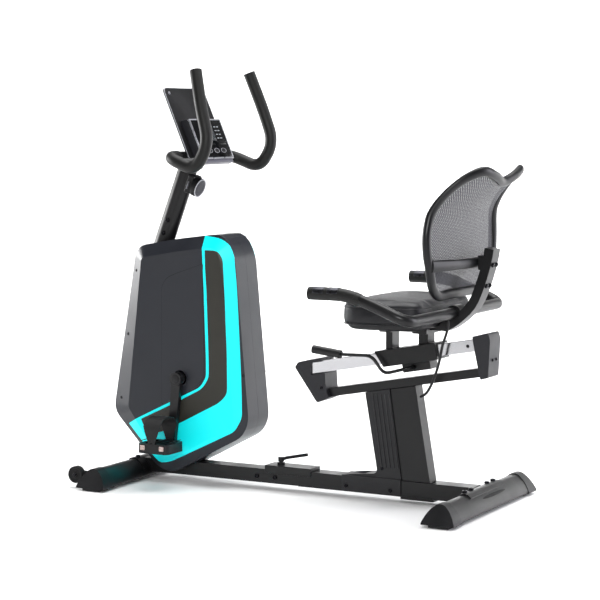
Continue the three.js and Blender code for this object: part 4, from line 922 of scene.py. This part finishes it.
# Foam gives the top a low crown, and the side a slight belly between its two seams.
centre = (low + high) / 2
half = (high - low) / 2
most_swelling = 0.006
crown_height = 0.007
hollow_depth = 0.002
for vertex, rest in zip(cushion.data.vertices, rest_points):
    moved = vertex.co - rest
    if moved.length > most_swelling:
        moved = moved.normalized() * most_swelling
    spot = rest + moved
    across = min(abs((rest.y - centre.y) / half.y), 1)
    along = min(abs((rest.x - centre.x) / half.x), 1)
    top = max(0, (rest.z - centre.z) / half.z)
    crown = crown_height * (1 - across ** 2) * (1 - along ** 2) * top
    # The rider's hollow: a shallow dip in the middle, deeper towards the back.
    backwards_share = 0.5 + 0.5 * (rest.x - centre.x) / half.x
    hollow = hollow_depth * top * max(0, 1 - (across * 2) ** 2) * backwards_share
    spot.z += crown - hollow
    spot.z = max(spot.z, low.z)
    vertex.co = spot
smoother = cushion.modifiers.new("smooth", "SMOOTH")
smoother.factor = 0.5
smoother.iterations = 4
finer = cushion.modifiers.new("finer", "SUBSURF")
finer.levels = finer.render_levels = 1
finished(cushion, leather, "seat", angle=60)
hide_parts("seat_cushion")

seat_loop = rounded([(-323, -184, 58), (-106, -171, 28), (-106, 171, 28), (-323, 184, 58)], pieces=10)
# A round cord of leather is sewn into each seam.
for seam, z, radius in (("top", 527, 1.3), ("bottom", 484, 1.5)):
    piping = tube_along(f"cushion_piping_{seam}", [at(x, y, z) for x, y in seat_loop], radius, 3, closed=True)
    finished(piping, leather, "seat", angle=60)

# ------------------------------------------------------------ seat handle bar, grips and pulse pads
# One bent tube passes through the back bracket. Foam grips push on at the front, each with a pair of bright
# pulse pads let into a moulded carrier.

seat_bar = [
    (-337, -299, 570, 0), (-232, -299, 570, 44), (-140, -299, 536, 26), (-72, -299, 508, 40),
    (-72, 299, 508, 40), (-140, 299, 536, 26), (-232, 299, 570, 44), (-337, 299, 570, 0),
]
handle = smooth_tube("seat_handle_tube", seat_bar, 14.5, powder_coat, "seat", sides=40)
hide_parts("seat_handle_bar")
pad_steel = grained("dark_chromed_pad", "#3a3a3e", "#4a4a4f", 0.3, 0.6, 0.01, metallic=1.0, patch=12)
for side, sign in (("left", -1), ("right", 1)):
    grip = smooth_tube(f"seat_foam_grip_{side}", [
        (-342, sign * 299, 570, 0), (-232, sign * 299, 570, 40), (-214, sign * 299, 562.5, 0),
    ], 16.8, foam, "seat", sides=40)
    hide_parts(f"seat_grip_{side}")
    for index, x in enumerate((-312, -272)):
        for cheek in (-1, 1):
            deselect()
            bpy.ops.mesh.primitive_cylinder_add(
                vertices=40, radius=0.0174, depth=0.03, location=at(x, sign * 299, 570),
                rotation=(0, pi / 2, 0))
            pad = added(f"pulse_pad_{side}_{index + 1}_{'outer' if cheek * sign > 0 else 'inner'}")
            bpy.ops.object.transform_apply(location=True, rotation=True, scale=False)
            # What is left is the upper quarter on one side of the bar.
            bpy.ops.object.mode_set(mode="EDIT")
            for normal, spot in (
                ((0, 0, 1), at(x, 0, 572)), ((0, cheek, 0), at(x, sign * 299 + cheek * 1.5, 570)),
            ):
                bpy.ops.mesh.select_all(action="SELECT")
                bpy.ops.mesh.bisect(plane_co=spot, plane_no=normal, clear_inner=True, use_fill=True)
            stop_editing()
            round_edges(pad, 1.4, 3)
            finished(pad, pad_steel, "seat")

# ------------------------------------------------------------ mesh back
# A rim and its cross bar are moulded in black nylon. A black knitted mesh is stretched over the rim and held
# in a groove round its inside.

nylon = grained("moulded_nylon", "#0c0c0e", "#141417", 0.34, 1.2, 0.05)


def back_x(y, z):
    """How far back the mesh stands at a height and a distance from the middle, in mm."""
    def smooth(value):
        t = min(max(value, 0), 1)
        return t * t * (3 - 2 * t)
    rolled = 64 * ((z - 760) / 127) ** 1.5 if z > 760 else 0
    dish = 28 * smooth((z - 566) / 80) + 58 * smooth((z - 720) / 150)
    return -65 + rolled + dish * (1 - (y / 222) ** 2)


rim_half = [
    (0, 561), (70, 561), (138, 563), (176, 590), (197, 632), (208, 675), (210, 715), (202, 755),
    (190, 800), (177, 832), (156, 859), (122, 874), (66, 862), (0, 846),
]
rim_points = [Vector(p) for p in rim_half + [(-y, z) for y, z in rim_half[-2:0:-1]]]


def between(first, last, start, end, now):
    """A point's place at one moment, if it moves evenly from first to last."""
    return first * ((end - now) / (end - start)) + last * ((now - start) / (end - start))


def closed_curve(points, count):
    """Evenly spaced points and directions on a smooth closed curve through the points."""
    dense = []
    total = len(points)
    for i in range(total):
        p = [points[(i + k - 1) % total] for k in range(4)]
        t = [0.0]
        for a, b in zip(p, p[1:]):
            t.append(t[-1] + (b - a).length ** 0.5)
        for step in range(24):
            u = t[1] + (t[2] - t[1]) * step / 24
            a = [between(p[k], p[k + 1], t[k], t[k + 1], u) for k in range(3)]
            b = [between(a[k], a[k + 1], t[k], t[k + 2], u) for k in range(2)]
            dense.append(between(b[0], b[1], t[1], t[2], u))
    dense.append(dense[0])
    lengths = [0.0]
    for a, b in zip(dense, dense[1:]):
        lengths.append(lengths[-1] + (b - a).length)
    found, cursor = [], 0
    for k in range(count):
        target = lengths[-1] * k / count
        while lengths[cursor + 1] < target:
            cursor += 1
        share = (target - lengths[cursor]) / (lengths[cursor + 1] - lengths[cursor])
        here, after = dense[cursor], dense[cursor + 1]
        found.append((here.lerp(after, share), (after - here).normalized()))
    return found


rim_steps = 160
rim_line = closed_curve(rim_points, rim_steps)
# The rim is a ring of moulded section, bent to the loop: 26 mm broad and 23 mm deep.
half_breadth, half_depth = 13, 11.5
deselect()
bpy.ops.mesh.primitive_torus_add(
    major_segments=rim_steps, minor_segments=20, major_radius=1, minor_radius=0.1)
rim = added("back_rim")
for vertex in rim.data.vertices:
    spin = math.atan2(vertex.co.y, vertex.co.x) / (2 * pi) % 1
    centre_point, direction = rim_line[round(spin * rim_steps) % rim_steps]
    out = (math.hypot(vertex.co.x, vertex.co.y) - 1) * 10
    y = centre_point.x + direction.y * out * half_breadth
    z = centre_point.y - direction.x * out * half_breadth
    vertex.co = at(back_x(centre_point.x, centre_point.y) + vertex.co.z * 10 * half_depth, y, z)
finished(rim, nylon, "seat", angle=60)
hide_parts("back_frame")

# The cross bar bows back behind the mesh and meets the bracket.
deselect()
bpy.ops.mesh.primitive_cylinder_add(vertices=24, radius=1, depth=2, rotation=(pi / 2, 0, 0))
cross_bar = added("back_cross_bar")
bpy.ops.object.transform_apply(location=False, rotation=True, scale=False)
bpy.ops.object.mode_set(mode="EDIT")
for step in range(-9, 10):
    bpy.ops.mesh.select_all(action="SELECT")
    bpy.ops.mesh.bisect(plane_co=(0, step / 10, 0), plane_no=(0, 1, 0))
stop_editing()
bar_reach, bar_height = 204, 640
for vertex in cross_bar.data.vertices:
    y = vertex.co.y * bar_reach
    behind = 9 + 18 * (1 - (y / 210) ** 2)
    half_tall = 13 + 3 * (y / bar_reach) ** 4
    x = back_x(y, bar_height) + behind + vertex.co.x * 6
    vertex.co = at(x, y, bar_height + vertex.co.z * half_tall)
finished(cross_bar, nylon, "seat", angle=60)

# Knitted mesh: holes about 2.5 mm apart between threads, drawn a little coarse so that the knit shows.
knit = shader_of("stretched_knitted_mesh", "#26262a", 0.7)
pitch = 0.0052
place = add_node(knit, "ShaderNodeTexCoord")
lay = add_node(
    knit, "ShaderNodeMapping", {"Rotation": (radians(45), 0, 0)}, {"Vector": place.outputs["Object"]})
axes = add_node(knit, "ShaderNodeSeparateXYZ", {}, {"Vector": lay.outputs["Vector"]})
waves = []
for axis in ("Y", "Z"):
    phase = add_node(
        knit, "ShaderNodeMath", {"operation": "MULTIPLY", 1: 2 * pi / pitch}, {0: axes.outputs[axis]})
    wave = add_node(knit, "ShaderNodeMath", {"operation": "SINE"}, {0: phase.outputs["Value"]})
    waves.append(wave.outputs["Value"])
grid = add_node(knit, "ShaderNodeMath", {"operation": "MAXIMUM"}, {0: waves[0], 1: waves[1]})
cover = add_node(
    knit, "ShaderNodeMapRange", {"From Min": -0.6, "From Max": 0.1, "To Min": 0.7, "To Max": 1.0},
    {"Value": grid.outputs["Value"]})
thread = add_node(
    knit, "ShaderNodeMix", {"data_type": "RGBA", 6: linear("#151517"), 7: linear("#3c3c41")},
    {0: cover.outputs["Result"]})
weave = add_node(
    knit, "ShaderNodeBump", {"Strength": 0.8, "Distance": 0.0005}, {"Height": grid.outputs["Value"]})
feed(knit, {
    "Alpha": cover.outputs["Result"], "Base Color": thread.outputs[2], "Normal": weave.outputs["Normal"],
})

# The mesh is laid out in rings from its middle to the groove, 3 mm inside the rim's centre line.
rings, middle_z, groove = 14, 720, 3
edge = rim_line[::2]
mesh_points, mesh_faces = [tuple(at(back_x(0, middle_z), 0, middle_z))], []
for ring in range(1, rings + 1):
    share = ring / rings
    for centre_point, direction in edge:
        y = (centre_point.x - direction.y * groove) * share
        z = middle_z + (centre_point.y + direction.x * groove - middle_z) * share
        mesh_points.append(tuple(at(back_x(y, z), y, z)))
count = len(edge)
for k in range(count):
    mesh_faces.append((0, 1 + k, 1 + (k + 1) % count))
    for ring in range(rings - 1):
        a = 1 + ring * count
        mesh_faces.append((a + k, a + count + k, a + count + (k + 1) % count, a + (k + 1) % count))
cloth_mesh = bpy.data.meshes.new("back_knit")
cloth_mesh.from_pydata(mesh_points, [], mesh_faces)
back_knit = new_piece("back_knit", cloth_mesh)
edit_all()
bpy.ops.mesh.normals_make_consistent(inside=False)
stop_editing()
finished(back_knit, knit, "seat", angle=60)
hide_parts("back_mesh")

# ------------------------------------------------------------ pulse lead
# A black sleeved cable carries the pulse signal from the handle bar down into the column. It hangs slack
# between them, because its upper end moves with the seat.

lead_points = [
    (-74, -52, 491.5), (-72, -52, 478), (-78, -51, 455), (-90, -50, 428), (-94, -50, 400),
    (-102, -48, 370), (-116, -42, 338), (-134, -30, 308), (-152, -16, 290), (-167.5, -10, 284),
]
lead_curve = bpy.data.curves.new("pulse_cable", "CURVE")
lead_curve.dimensions = "3D"
lead_curve.bevel_resolution = 4
lead_curve.use_fill_caps = True
spline = lead_curve.splines.new("NURBS")
spline.points.add(len(lead_points) - 1)
for point, spot in zip(spline.points, lead_points):
    point.co = (*at(*spot), 1)
spline.use_endpoint_u = True
spline.order_u = 4
spline.resolution_u = 8
cable = bpy.data.objects.new("pulse_cable", lead_curve)
scene.collection.objects.link(cable)
lead_line = bpy.data.meshes.new_from_object(cable)
lead_curve.bevel_depth = 0.0037
take(cable)
bpy.ops.object.convert(target="MESH")
cable = bpy.context.object
bpy.ops.object.shade_smooth_by_angle(angle=radians(60))
cable.data.materials.clear()
cable.data.materials.append(vinyl)
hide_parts("pulse_lead")
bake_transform(cable)
